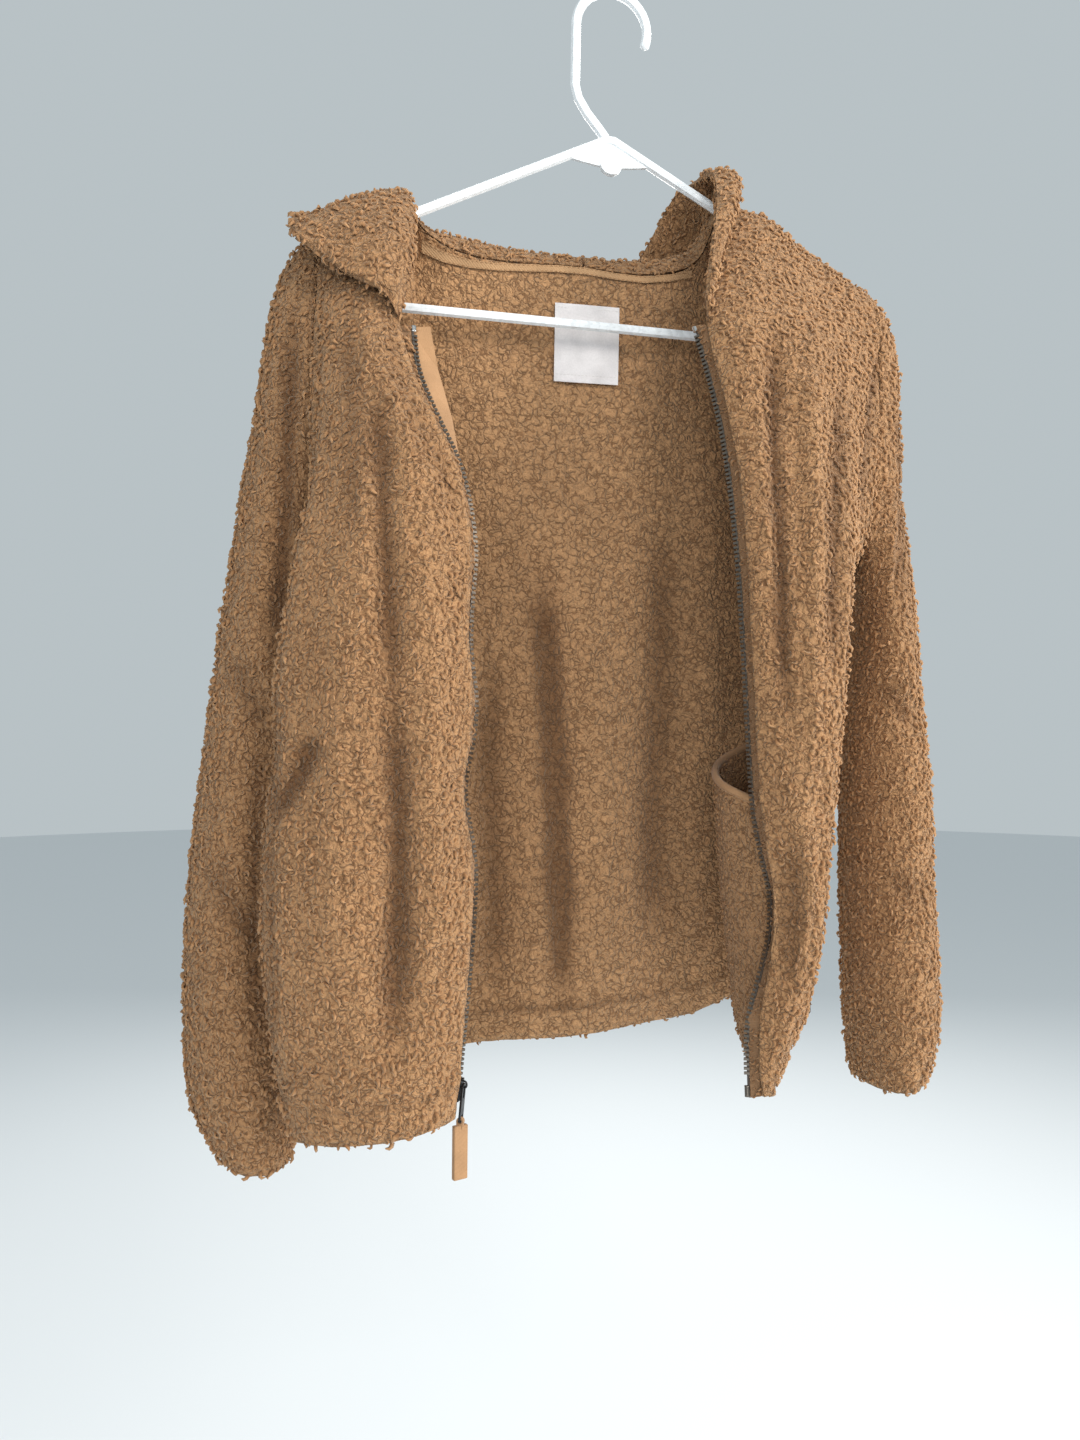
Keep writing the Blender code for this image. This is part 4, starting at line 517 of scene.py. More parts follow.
def mesh_arrays(mesh: bpy.types.Mesh) -> tuple[np.ndarray, np.ndarray]:
    """A mesh's points and the directions that they face.

    Args:
        mesh: the mesh.

    Returns:
        The points and the point normals, each of shape (n, 3).
    """
    points = np.empty(len(mesh.vertices) * 3)
    mesh.vertices.foreach_get("co", points)
    normals = np.empty(len(mesh.vertices) * 3)
    mesh.vertex_normals.foreach_get("vector", normals)
    return points.reshape(-1, 3), normals.reshape(-1, 3)


def set_points(mesh: bpy.types.Mesh, points: np.ndarray) -> None:
    """Writes a mesh's points."""
    mesh.vertices.foreach_set("co", points.astype(np.float32).ravel())
    mesh.update()


def new_object(
    name: str, mesh: bpy.types.Mesh, material: bpy.types.Material | None = None
) -> bpy.types.Object:
    """An object of its own for a mesh, in the scene.

    Args:
        name: the piece's name.
        mesh: its mesh, in world coordinates.
        material: its material, if the mesh has none yet.

    Returns:
        The object.
    """
    made = bpy.data.objects.new(name, mesh)
    bpy.context.scene.collection.objects.link(made)
    if material is not None:
        mesh.materials.clear()
        mesh.materials.append(material)
    return made


def applied(source: bpy.types.Object, name: str) -> bpy.types.Object:
    """Turns an object and its modifiers into a new object with a plain mesh.

    Args:
        source: the object, which is removed.
        name: the new object's name.

    Returns:
        The new object.
    """
    graph = bpy.context.evaluated_depsgraph_get()
    mesh = bpy.data.meshes.new_from_object(source.evaluated_get(graph))
    mesh.name = name
    made = new_object(name, mesh)
    bpy.data.objects.remove(source)
    return made


def cad_nodes() -> dict[str, bpy.types.Object]:
    """The CAD nodes by name."""
    return FRAME["nodes"]


def merged_copy(node: str) -> bpy.types.Mesh:
    """A CAD node's mesh with its loose triangles merged and joined into four-sided faces.

    Args:
        node: the node's name.

    Returns:
        The new mesh, with its sharp edges partly held against subdivision.
    """
    merge, flat_turn, sharp_turn, sharp_hold = 0.01 * MM, 0.9, 0.9, 0.55
    mesh = cad_nodes()[node].data.copy()
    net = bmesh.new()
    net.from_mesh(mesh)
    bmesh.ops.remove_doubles(net, verts=net.verts[:], dist=merge)
    bmesh.ops.join_triangles(
        net, faces=net.faces[:], angle_face_threshold=flat_turn, angle_shape_threshold=flat_turn
    )
    crease = net.edges.layers.float.new("crease_edge")
    for edge in net.edges:
        sharp = len(edge.link_faces) == 2 and edge.calc_face_angle() > sharp_turn
        edge[crease] = sharp_hold if sharp else 0.0
    net.to_mesh(mesh)
    net.free()
    mesh.materials.clear()
    return mesh


def smooth_share(low: float, high: float, values: np.ndarray) -> np.ndarray:
    """0 below low, 1 above high, and an even S between them."""
    share = np.clip((values - low) / (high - low), 0, 1)
    return share * share * (3 - 2 * share)


def wander(points: np.ndarray, size: float, seed: float = 0.0) -> np.ndarray:
    """Smooth noise, about -1 to 1, at each point, with bumps of a size in metres."""
    shifted = points / size + seed
    return np.array([noise.noise(Vector(p)) for p in shifted])


def distance_to_line(points: np.ndarray, line: np.ndarray) -> tuple[np.ndarray, np.ndarray]:
    """Each point's distance to a polyline.

    Args:
        points: the points.
        line: the polyline's points.

    Returns:
        The distances, and how far along the line, 0 to 1, the nearest place is.
    """
    best = np.full(len(points), np.inf)
    along = np.zeros(len(points))
    lengths = np.linalg.norm(np.diff(line, axis=0), axis=1)
    starts = np.concatenate([[0], np.cumsum(lengths)])
    for k, (a, b) in enumerate(zip(line[:-1], line[1:])):
        step = b - a
        share = np.clip((points - a) @ step / (step @ step), 0, 1)
        gap = np.linalg.norm(points - a - share[:, None] * step, axis=1)
        nearer = gap < best
        best[nearer] = gap[nearer]
        along[nearer] = (starts[k] + share[nearer] * lengths[k]) / starts[-1]
    return best, along


# ---------------------------------------------------------------- repeats


@dataclass(frozen=True)
class LockField:
    """Curled locks scattered over a shell, by Geometry Nodes.

    Spacing is the least distance between roots. Length and width are one lock's own, and mess is how far the
    locks stray from the nap. The shell's points hold the attributes pile, the locks' size there, and nap, the
    way that they lie.
    """

    spacing: float = 4.0 * MM
    length: float = 5.0 * MM
    width: float = 1.3 * MM
    mess: float = 0.8
    seed: int = 3

    BENDS: ClassVar[tuple[tuple[Point, Point], ...]] = (
        ((0.3, 0.45, 0.5), (0.85, 0.0, 0.15)),
        ((0.35, -0.5, 0.5), (0.8, 0.15, 0.1)),
        ((0.1, 0.1, 0.65), (0.6, -0.1, 0.35)),
        ((0.55, 0.4, 0.4), (0.7, -0.35, 0.2)),
    )  # each kind's middle and tip, in lock lengths

    def tree(self, material: bpy.types.Material) -> bpy.types.GeometryNodeTree:
        """Builds the node tree.

        Args:
            material: the locks' material.

        Returns:
            The tree, with inputs for the sizes.
        """
        sizes = dict.fromkeys(("Spacing", "Length", "Width", "Mess"), "Float")
        graph = new_tree("lock_field", {"Shell": "Geometry", **sizes, "Seed": "Int"}, "Locks")
        given = graph.add("NodeGroupInput").outputs
        pile, nap = graph.stored("pile", "FLOAT"), graph.stored("nap", "FLOAT_VECTOR")
        spacing, seed = given["Spacing"], given["Seed"]
        scatter = graph.add(
            "GeometryNodeDistributePointsOnFaces",
            {
                "Mesh": given["Shell"],
                "Distance Min": spacing,
                "Density Max": graph.math("DIVIDE", 2.5, graph.math("MULTIPLY", spacing, spacing)),
                "Density Factor": graph.math("GREATER_THAN", pile, 0.05),
                "Seed": seed,
            },
            distribute_method="POISSON",
        )
        spray = graph.random_vector(seed)
        stray = graph.vector("SCALE", spray, graph.math("MULTIPLY", given["Mess"], 0.35))
        up = graph.vector("ADD", scatter.outputs["Normal"], stray)
        side = graph.vector("ADD", nap, graph.vector("SCALE", spray, given["Mess"]))
        size = graph.random_number(0.65, 1.25, graph.math("ADD", seed, 7))
        tone = graph.random_number(0.0, 1.0, graph.math("ADD", seed, 11))
        scale = graph.math("MULTIPLY", size, pile)
        on_points = graph.add(
            "GeometryNodeInstanceOnPoints",
            {
                "Points": scatter.outputs["Points"],
                "Instance": self.locks(graph, given),
                "Pick Instance": True,
                "Rotation": graph.turned(up, side),
                "Scale": graph.add("ShaderNodeCombineXYZ", {0: scale, 1: scale, 2: scale}).outputs[0],
            },
        )
        toned = graph.add(
            "GeometryNodeStoreNamedAttribute",
            {"Geometry": on_points.outputs[0], "Name": "tone", "Value": tone},
            data_type="FLOAT",
            domain="INSTANCE",
        )
        graph.add("NodeGroupOutput", {"Locks": graph.finished(toned.outputs[0], True, material)})
        return graph.tree

    def locks(self, graph: Graph, given: Any) -> bpy.types.NodeSocket:
        """Four kinds of curled lock, rooted at the origin and bent towards +X.

        Args:
            graph: the tree's graph.
            given: the tree's inputs.

        Returns:
            The four, as instances to pick from.
        """
        kinds = graph.add("GeometryNodeJoinGeometry")
        for middle, end in self.BENDS:
            arc = graph.add(
                "GeometryNodeCurveQuadraticBezier",
                {
                    "Resolution": 3,
                    "Start": (0.0, 0.0, 0.0),
                    "Middle": graph.vector("SCALE", middle, given["Length"]),
                    "End": graph.vector("SCALE", end, given["Length"]),
                },
            )
            share = graph.add("GeometryNodeSplineParameter").outputs["Factor"]
            taper = graph.math("SUBTRACT", 1.0, graph.math("MULTIPLY", graph.math("POWER", share, 2.0), 0.75))
            fat = graph.add(
                "GeometryNodeSetCurveRadius",
                {"Curve": arc.outputs[0], "Radius": graph.math("MULTIPLY", taper, given["Width"])},
            )
            marked = graph.add(
                "GeometryNodeStoreNamedAttribute",
                {"Geometry": fat.outputs[0], "Name": "along", "Value": share},
                data_type="FLOAT",
                domain="POINT",
            )
            ring = graph.add("GeometryNodeCurvePrimitiveCircle", {"Resolution": 3, "Radius": 1.0})
            body = graph.add(
                "GeometryNodeCurveToMesh",
                {"Curve": marked.outputs[0], "Profile Curve": ring.outputs[0], "Fill Caps": True},
            )
            if "Scale" in body.inputs:
                graph.feed(body.inputs["Scale"], graph.add("GeometryNodeInputRadius").outputs[0])
            single = graph.add("GeometryNodeGeometryToInstance", {0: body.outputs[0]})
            graph.tree.links.new(single.outputs[0], kinds.inputs[0])
        return kinds.outputs[0]

    def grow(self, shell: bpy.types.Object, name: str, tree: bpy.types.GeometryNodeTree) -> bpy.types.Object:
        """Scatters the locks over a shell.

        Args:
            shell: the shell, whose points hold the attributes pile and nap.
            name: the new piece's name.
            tree: the tree from tree().

        Returns:
            The locks, as one plain mesh.
        """
        carrier = new_object(f"{name}_carrier", shell.data.copy())
        values = {
            "Spacing": self.spacing,
            "Length": self.length,
            "Width": self.width,
            "Mess": self.mess,
            "Seed": self.seed,
        }
        return run_tree(carrier, name, tree, values)


def run_tree(
    carrier: bpy.types.Object, name: str, tree: bpy.types.GeometryNodeTree, values: dict[str, Any]
) -> bpy.types.Object:
    """Evaluates a Geometry Nodes tree on a carrier object.

    Args:
        carrier: the object whose mesh or curve the tree takes; it is removed.
        name: the new object's name.
        tree: the node tree.
        values: the tree's inputs by name.

    Returns:
        The result as a plain mesh object.
    """
    modifier = carrier.modifiers.new("repeat", "NODES")
    modifier.node_group = tree
    sockets = {item.name: item.identifier for item in tree.interface.items_tree if item.in_out == "INPUT"}
    for key, value in values.items():
        modifier[sockets[key]] = value
    return applied(carrier, name)


@dataclass(frozen=True)
class Row:
    """A line that something is repeated along: its points and, at each, the direction it faces."""

    points: np.ndarray
    facing: np.ndarray

    def carrier(self, name: str) -> bpy.types.Object:
        """A mesh polyline that holds the facing directions as an attribute.

        Args:
            name: the object's name.

        Returns:
            The polyline.
        """
        mesh = bpy.data.meshes.new(name)
        count = len(self.points)
        mesh.from_pydata([tuple(p) for p in self.points], [(k, k + 1) for k in range(count - 1)], [])
        layer = mesh.attributes.new("facing", "FLOAT_VECTOR", "POINT")
        layer.data.foreach_set("vector", self.facing.astype(np.float32).ravel())
        return new_object(name, mesh)


@dataclass(frozen=True)
class Repeat:
    """A small solid repeated along a row by Geometry Nodes.

    The solid's X is the row's facing direction, its Z runs along the row.
    """

    pitch: float
    size: Point
    jitter: float = 0.0
    round_ends: bool = False
    seed: int = 1

    def tree(self, material: bpy.types.Material) -> bpy.types.GeometryNodeTree:
        """Builds the node tree.

        Args:
            material: the solids' material.

        Returns:
            The tree, with inputs for pitch, size, jitter and seed.
        """
        takes = {"Row": "Geometry", "Pitch": "Float", "Size": "Vector", "Jitter": "Float", "Seed": "Int"}
        graph = new_tree("repeat_on_row", takes, "Solids")
        given = graph.add("NodeGroupInput").outputs
        curve = graph.add("GeometryNodeMeshToCurve", {"Mesh": given["Row"]})
        even = graph.add(
            "GeometryNodeResampleCurve", {"Curve": curve.outputs[0], "Length": given["Pitch"]}, mode="LENGTH"
        )
        shake = graph.vector("SCALE", graph.random_vector(given["Seed"]), given["Jitter"])
        run = graph.vector("ADD", graph.add("GeometryNodeInputTangent").outputs[0], shake)
        if self.round_ends:
            solid = graph.add("GeometryNodeMeshUVSphere", {"Segments": 6, "Rings": 4, "Radius": 0.5})
        else:
            solid = graph.add("GeometryNodeMeshCube", {"Size": (1.0, 1.0, 1.0)})
        solid = solid.outputs["Mesh"]
        sized = graph.add("GeometryNodeTransform", {"Geometry": solid, "Scale": given["Size"]})
        placed = graph.add(
            "GeometryNodeInstanceOnPoints",
            {
                "Points": even.outputs[0],
                "Instance": sized.outputs[0],
                "Rotation": graph.turned(run, graph.stored("facing", "FLOAT_VECTOR")),
            },
        )
        graph.add("NodeGroupOutput", {"Solids": graph.finished(placed.outputs[0], self.round_ends, material)})
        return graph.tree

    def along(self, row: Row, name: str, material: bpy.types.Material) -> bpy.types.Object:
        """Repeats the solid along a row, as one plain mesh."""
        values = {"Pitch": self.pitch, "Size": self.size, "Jitter": self.jitter, "Seed": self.seed}
        return run_tree(row.carrier(f"{name}_row"), name, self.tree(material), values)

    def along_all(self, rows: Sequence[Row], name: str, material: bpy.types.Material) -> bpy.types.Object:
        """Repeats the solid along several rows, as one plain mesh.

        Args:
            rows: the rows, each of which takes the next seed.
            name: the piece's name.
            material: its material.

        Returns:
            The piece.
        """
        parts = [
            replace(self, seed=self.seed + k).along(row, f"{name}_{k}", material)
            for k, row in enumerate(rows)
        ]
        return joined(name, parts)


def joined(name: str, parts: Sequence[bpy.types.Object]) -> bpy.types.Object:
    """Joins plain mesh objects that share one material.

    Args:
        name: the new piece's name.
        parts: the objects, which are removed.

    Returns:
        The piece.
    """
    net = bmesh.new()
    for part in parts:
        net.from_mesh(part.data)
    mesh = bpy.data.meshes.new(name)
    net.to_mesh(mesh)
    net.free()
    for material in parts[0].data.materials:
        mesh.materials.append(material)
    for part in parts:
        bpy.data.objects.remove(part)
    return new_object(name, mesh)


@dataclass(frozen=True)
class Strip:
    """A long thin CAD strip, cut across at even steps, with its two long edges and the way it faces."""

    low: np.ndarray
    high: np.ndarray
    facing: np.ndarray

    MARGIN: ClassVar[float] = 0.4 * MM  # left out at each end
    EDGE: ClassVar[float] = 0.6 * MM  # how near to a long edge a cut's points count as on it

    @classmethod
    def cut(cls, node: str, axis: int, order_axis: int, outward: Point, count: int = 70) -> "Strip":
        """Cuts a node by planes.

        Args:
            node: the CAD node's name.
            axis: the axis that the strip runs along.
            order_axis: the axis on which an edge is told from the other.
            outward: roughly the direction that the strip's visible face looks.
            count: how many cuts.

        Returns:
            The strip, from its lowest end along the axis to its highest.
        """
        mesh = cad_nodes()[node].data
        points, _ = mesh_arrays(mesh)
        ends = np.empty(len(mesh.edges) * 2, dtype=np.int32)
        mesh.edges.foreach_get("vertices", ends)
        first, second = points[ends.reshape(-1, 2)].transpose(1, 0, 2)
        start, stop = points[:, axis].min(), points[:, axis].max()
        low, high = [], []
        for level in np.linspace(start + cls.MARGIN, stop - cls.MARGIN, count):
            gap_a, gap_b = first[:, axis] - level, second[:, axis] - level
            crossing = gap_a * gap_b < 0
            share = (gap_a / (gap_a - gap_b + 1e-12))[crossing][:, None]
            cut = first[crossing] * (1 - share) + second[crossing] * share
            offsets = cut - cut.mean(axis=0)
            _, _, frame = np.linalg.svd(offsets, full_matrices=False)
            reach = offsets @ frame[0]
            near = cut[reach <= reach.min() + cls.EDGE].mean(axis=0)
            far = cut[reach >= reach.max() - cls.EDGE].mean(axis=0)
            pair = sorted((near, far), key=lambda p: p[order_axis])
            low.append(pair[0])
            high.append(pair[1])
        low, high = smoothed(np.array(low)), smoothed(np.array(high))
        run = np.gradient((low + high) / 2, axis=0)
        facing = unit(np.cross(run, high - low))
        flip = np.sign(facing @ np.array(outward))
        return cls(low, high, facing * np.where(flip == 0, 1, flip)[:, None])

    def row(self, share: float, lift: float) -> Row:
        """A line at a share of the strip's width from its low edge, lifted off its middle plane."""
        line = self.low * (1 - share) + self.high * share + self.facing * lift
        return Row(line, self.facing)


def unit(vectors: np.ndarray) -> np.ndarray:
    """Vectors at length one."""
    return vectors / np.maximum(np.linalg.norm(vectors, axis=-1, keepdims=True), 1e-12)


def smoothed(line: np.ndarray, rounds: int = 3) -> np.ndarray:
    """A polyline with its small jogs evened out and its ends kept.

    Args:
        line: the polyline's points.
        rounds: how often it is evened out.

    Returns:
        The new points.
    """
    line = line.copy()
    for _ in range(rounds):
        line[1:-1] = (line[:-2] + 2 * line[1:-1] + line[2:]) / 4
    return line


def swept(
    name: str, path: np.ndarray, profile: np.ndarray, across: np.ndarray, out: np.ndarray
) -> bpy.types.Mesh:
    """A closed solid swept along a path.

    Args:
        name: the mesh's name.
        path: the path's points.
        profile: the section's points, (across, out), in metres, going round once.
        across: the section's first direction at each point of the path.
        out: its second direction.

    Returns:
        The mesh, with both ends capped.
    """
    rings = path[:, None] + profile[None, :, :1] * across[:, None] + profile[None, :, 1:] * out[:, None]
    count = len(profile)
    net = bmesh.new()
    verts = [[net.verts.new(p) for p in ring] for ring in rings]
    for near, far in zip(verts, verts[1:]):
        for k in range(count):
            net.faces.new((near[k], near[(k + 1) % count], far[(k + 1) % count], far[k]))
    net.faces.new(verts[0][::-1])
    net.faces.new(verts[-1])
    bmesh.ops.recalc_face_normals(net, faces=net.faces[:])
    mesh = bpy.data.meshes.new(name)
    for face in net.faces:
        face.smooth = True
    net.to_mesh(mesh)
    net.free()
    return mesh


def oval(width: float, height: float, count: int = 12) -> np.ndarray:
    """The points of an oval section."""
    turns = np.linspace(0, math.tau, count, endpoint=False)
    return np.stack([np.cos(turns) * width / 2, np.sin(turns) * height / 2], axis=1)


# ---------------------------------------------------------------- zip


class Side(Enum):
    """The wearer's two sides, by the sign of X."""

    RIGHT = -1
    LEFT = 1

    @property
    def word(self) -> str:
        """The side's name."""
        return self.name.lower()


@dataclass
class ZipSide:
    """One side of the zip: its row of metal teeth on the tape's beaded edge, its stops and its stitches."""

    side: Side
    tooth: Point = (3.6 * MM, 2.5 * MM, 1.5 * MM)
    pitch: float = 2.9 * MM
    bead: float = 1.9 * MM
    stop: Point = (4.0 * MM, 3.0 * MM, 4.0 * MM)
    foot: Point = (3.8 * MM, 2.8 * MM, 7.0 * MM)
    reach: float = 0.9 * MM  # from the tape's free edge out to the middle of the teeth
    tape_half: float = 0.5 * MM
    stitch: Repeat = Repeat(3.2 * MM, (0.45 * MM, 0.55 * MM, 2.3 * MM), jitter=0.04, round_ends=True, seed=3)
    stitch_rows: tuple[float, float] = (0.12, 0.88)  # shares of the facing's width

    def build(self, finishes: Finishes) -> None:
        """Builds the side's pieces on its CAD tape and facing.

        Args:
            finishes: the materials.
        """
        word = self.side.word
        free, held, facing = self.edges(word)
        across = unit(free - held)
        centre = free + self.reach * across
        for_teeth = Row(centre[2:-1], across[2:-1])
        teeth = Repeat(self.pitch, self.tooth).along(for_teeth, f"zip_teeth_{word}", finishes.teeth)
        cord = swept("bead", free, oval(self.bead, self.bead), across, facing)
        bead = new_object(f"zip_bead_{word}", cord, finishes.cord)
        run = unit(np.gradient(free, axis=0))
        top_middle = centre[-1] - run[-1] * self.stop[2] / 2
        top = self.pin(f"zip_top_stop_{word}", top_middle, run[-1], across[-1], self.stop)
        foot_middle = centre[0] + run[0] * self.foot[2] / 2
        foot = self.pin(f"zip_foot_{word}", foot_middle, run[0], across[0], self.foot)
        for piece, finish in ((top, finishes.steel), (foot, finishes.teeth)):
            piece.data.materials.append(finish)
        for piece, slot in ((teeth, "metal"), (bead, "zip"), (top, "metal"), (foot, "metal")):
            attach(piece, JACKET)
        self.stitch_facing(finishes)
        LOG.info("zip, %s side: %d teeth", word, len(teeth.data.polygons) // 6)

    @staticmethod
    def pin(
        name: str, middle: np.ndarray, run: np.ndarray, across: np.ndarray, size: Point
    ) -> bpy.types.Object:
        """A short rounded metal piece clamped on the zip's edge.

        Args:
            name: the piece's name.
            middle: its middle.
            run: the way that the zip runs there.
            across: the way out of the tape there.
            size: its size across, out and along.

        Returns:
            The piece, with no material yet.
        """
        path = middle + run * np.array([-0.5, -0.42, 0.42, 0.5])[:, None] * size[2]
        out = unit(np.cross(run, across))
        width = oval(size[0], size[1], 12)
        rings = swept(name, path, width, np.tile(across, (4, 1)), np.tile(out, (4, 1)))
        return new_object(name, rings)

    @staticmethod
    def edges(word: str) -> tuple[np.ndarray, np.ndarray, np.ndarray]:
        """The lines of one zip tape, from the hem up.

        Args:
            word: the side's name.

        Returns:
            The tape's free edge, its sewn edge and the way it faces.
        """
        tape = Strip.cut(f"zip_tape_{word}", 2, 0, FORWARD)
        free, held = (tape.high, tape.low) if word == Side.RIGHT.word else (tape.low, tape.high)
        return free, held, tape.facing

    def stitch_facing(self, finishes: Finishes) -> None:
        """Rows of stitches down the facing, on the side that the body feels.

        Args:
            finishes: the materials.
        """
        word = self.side.word
        inward = (0.5 * -self.side.value, 0.4, 0.0)
        facing = Strip.cut(f"zip_facing_{word}", 2, 0, inward)
        rows = [facing.row(share, self.tape_half + 0.05 * MM) for share in self.stitch_rows]
        stitches = self.stitch.along_all(rows, f"facing_stitches_{word}", finishes.thread)
        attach(stitches, JACKET)


@dataclass
class NeckTrim:
    """Stitches on the neck tape and round the blank label."""

    inset: float = 0.12  # the share of the tape's width outside its stitches
    lift: float = 0.55 * MM  # off the tape's middle plane
    stitch: Repeat = Repeat(3.3 * MM, (0.45 * MM, 0.55 * MM, 2.4 * MM), jitter=0.04, round_ends=True, seed=0)
    label_stitch: Repeat = Repeat(2.6 * MM, (0.3 * MM, 0.4 * MM, 1.8 * MM), round_ends=True, seed=5)

    def build(self, finishes: Finishes) -> None:
        """Builds them.

        Args:
            finishes: the materials.
        """
        tape = Strip.cut("neck_tape", 0, 2, FORWARD)
        rows = [tape.row(share, self.lift) for share in (self.inset, 1 - self.inset)]
        stitches = self.stitch.along_all(rows, "neck_tape_stitches", finishes.thread)
        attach(stitches, JACKET)
        label = Strip.cut("label", 2, 0, FORWARD, count=24)
        sewn = self.label_stitch.along_all(self.label_rows(label), "label_stitches", finishes.pale_thread)
        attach(sewn, JACKET)

    @staticmethod
    def label_rows(label: Strip) -> list[Row]:
        """The sewn lines, along the label's top and its folded foot.

        Args:
            label: the label, cut across.

        Returns:
            The two rows.
        """
        count, half = 12, 0.5 * MM
        shares = np.linspace(0.05, 0.95, count)[:, None]
        rows = []
        for level in (-2, 2):
            facing = np.repeat(label.facing[level][None], count, axis=0)
            line = label.low[level] * (1 - shares) + label.high[level] * shares + facing * half
            rows.append(Row(line, facing))
        return rows


# ---------------------------------------------------------------- pocket


@dataclass
class PocketRim:
    """The twill binding sewn over the open edge of the pocket bag."""

    node: str = "pocket_bag_left"
    height: float = 5.4 * MM
    width: float = 5.2 * MM
    seat: float = 0.36  # how far the binding sits down over the edge, as a share of its height
    seam: tuple[float, float] = (0.46, 0.22)  # the stitches' place, in widths out and heights down
    stitch: Repeat = Repeat(3.0 * MM, (0.45 * MM, 0.5 * MM, 2.2 * MM), jitter=0.04, round_ends=True)

    def build(self, finishes: Finishes) -> None:
        """Builds the binding and its stitches.

        Args:
            finishes: the materials.
        """
        path, across = self.rim()
        run = unit(np.gradient(path, axis=0))
        up = unit(np.cross(across, run))
        up *= np.sign(up[:, 2])[:, None]
        centre = path - up * self.height * self.seat
        tube = swept("binding", centre, oval(self.width, self.height, 16), across, up)
        binding = new_object("pocket_binding", tube, finishes.facing)
        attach(binding, JACKET)
        out, down = self.seam
        line = centre + across * (self.width * out) - up * self.height * down
        stitches = self.stitch.along(Row(line, across), "pocket_stitches", finishes.thread)
        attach(stitches, JACKET)

    def rim(self) -> tuple[np.ndarray, np.ndarray]:
        """The bag's upper edge, from the zip to the side.

        Returns:
            The middle of the edge, and the way out of the bag there.
        """
        net = bmesh.new()
        net.from_mesh(merged_copy(self.node))
        tops = {tuple(round(c, 6) for c in v.co) for f in net.faces if f.normal.z > 0.7 for v in f.verts}
        net.free()
        points = np.array(sorted(tops, key=lambda p: p[1]))
        middles = []
        left = list(range(len(points)))
        while len(left) > 1:
            here = left.pop(0)
            nearest = min(left, key=lambda k: np.linalg.norm(points[k] - points[here]))
            left.remove(nearest)
            middles.append((points[here] + points[nearest]) / 2)
        chain = [middles.pop(0)]
        while middles:
            nearest = min(range(len(middles)), key=lambda k: np.linalg.norm(middles[k] - chain[-1]))
            chain.append(middles.pop(nearest))
        knots = np.array(chain)
        steps = np.linspace(0, len(knots) - 1, 60)
        even = [np.interp(steps, np.arange(len(knots)), knots[:, axis]) for axis in range(3)]
        path = smoothed(np.stack(even, axis=1), 8)
        run = unit(np.gradient(path, axis=0))
        across = unit(np.cross(run, [0.0, 0.0, 1.0]))
        middle = path.mean(axis=0) + np.array([30 * MM, 0, 0])
        across *= np.sign(((path - middle) * across).sum(axis=1))[:, None]
        return path, across


# ---------------------------------------------------------------- fleece panels


@dataclass(frozen=True)
class Crease:
    """A soft trough (or, with a negative depth, a ridge) pressed along a line in a panel.

    The line's X and Z, the width and the depth are in millimetres, and looks says which way the cloth faces
    where it is pressed.
    """

    line: tuple[tuple[float, float], ...]
    width: float
    depth: float
    looks: Point = FORWARD

    def press(self, points: np.ndarray, outward: np.ndarray) -> np.ndarray:
        """How far a panel's points are pressed in.

        Args:
            points: the points.
            outward: the way out of the panel at each.

        Returns:
            The depths, in metres.
        """
        flat = points * [1.0, 0.0, 1.0]
        line = np.array([(x, 0.0, z) for x, z in self.line]) * MM
        gap, along = distance_to_line(flat, line)
        width = self.width * MM * (1 + 0.35 * wander(points, 45 * MM, 5.0))
        ends = smooth_share(0.0, 0.25, along) * (1 - smooth_share(0.75, 1.0, along))
        turned = smooth_share(0.0, 0.5, outward @ np.array(self.looks))
        return self.depth * MM * np.exp(-((gap / width) ** 2)) * ends * turned


class Outer(Enum):
    """How a panel's outer face is told from its inner one."""

    BACKWARD = BEHIND
    FRONT_RIGHT = (-0.45, -0.9, 0.0)
    FRONT_LEFT = (0.5, -0.85, 0.0)
    ROUND = None
    BOTH = ()

    def sides(self, points: np.ndarray, normals: np.ndarray) -> np.ndarray:
        """Tells a panel's two faces apart.

        Args:
            points: the panel's points.
            normals: the directions that they face.

        Returns:
            1 where a point is on the outer face, and -1 on the inner one.
        """
        if self is Outer.BOTH:
            return np.ones(len(points))
        if self is Outer.ROUND:
            return np.where(((points - self.spine(points)) * normals).sum(axis=1) > 0, 1.0, -1.0)
        return np.where(normals @ np.array(self.value) > 0, 1.0, -1.0)

    @staticmethod
    def spine(points: np.ndarray) -> np.ndarray:
        """The middle of a tube that hangs.

        Args:
            points: the tube's points.

        Returns:
            For each point, the tube's middle at its height.
        """
        levels = np.linspace(points[:, 2].min(), points[:, 2].max(), 24)
        step = levels[1] - levels[0]
        centres = np.array([points[np.abs(points[:, 2] - z) <= step].mean(axis=0) for z in levels])
        middle = points.copy()
        for axis in (0, 1):
            middle[:, axis] = np.interp(points[:, 2], levels, centres[:, axis])
        return middle


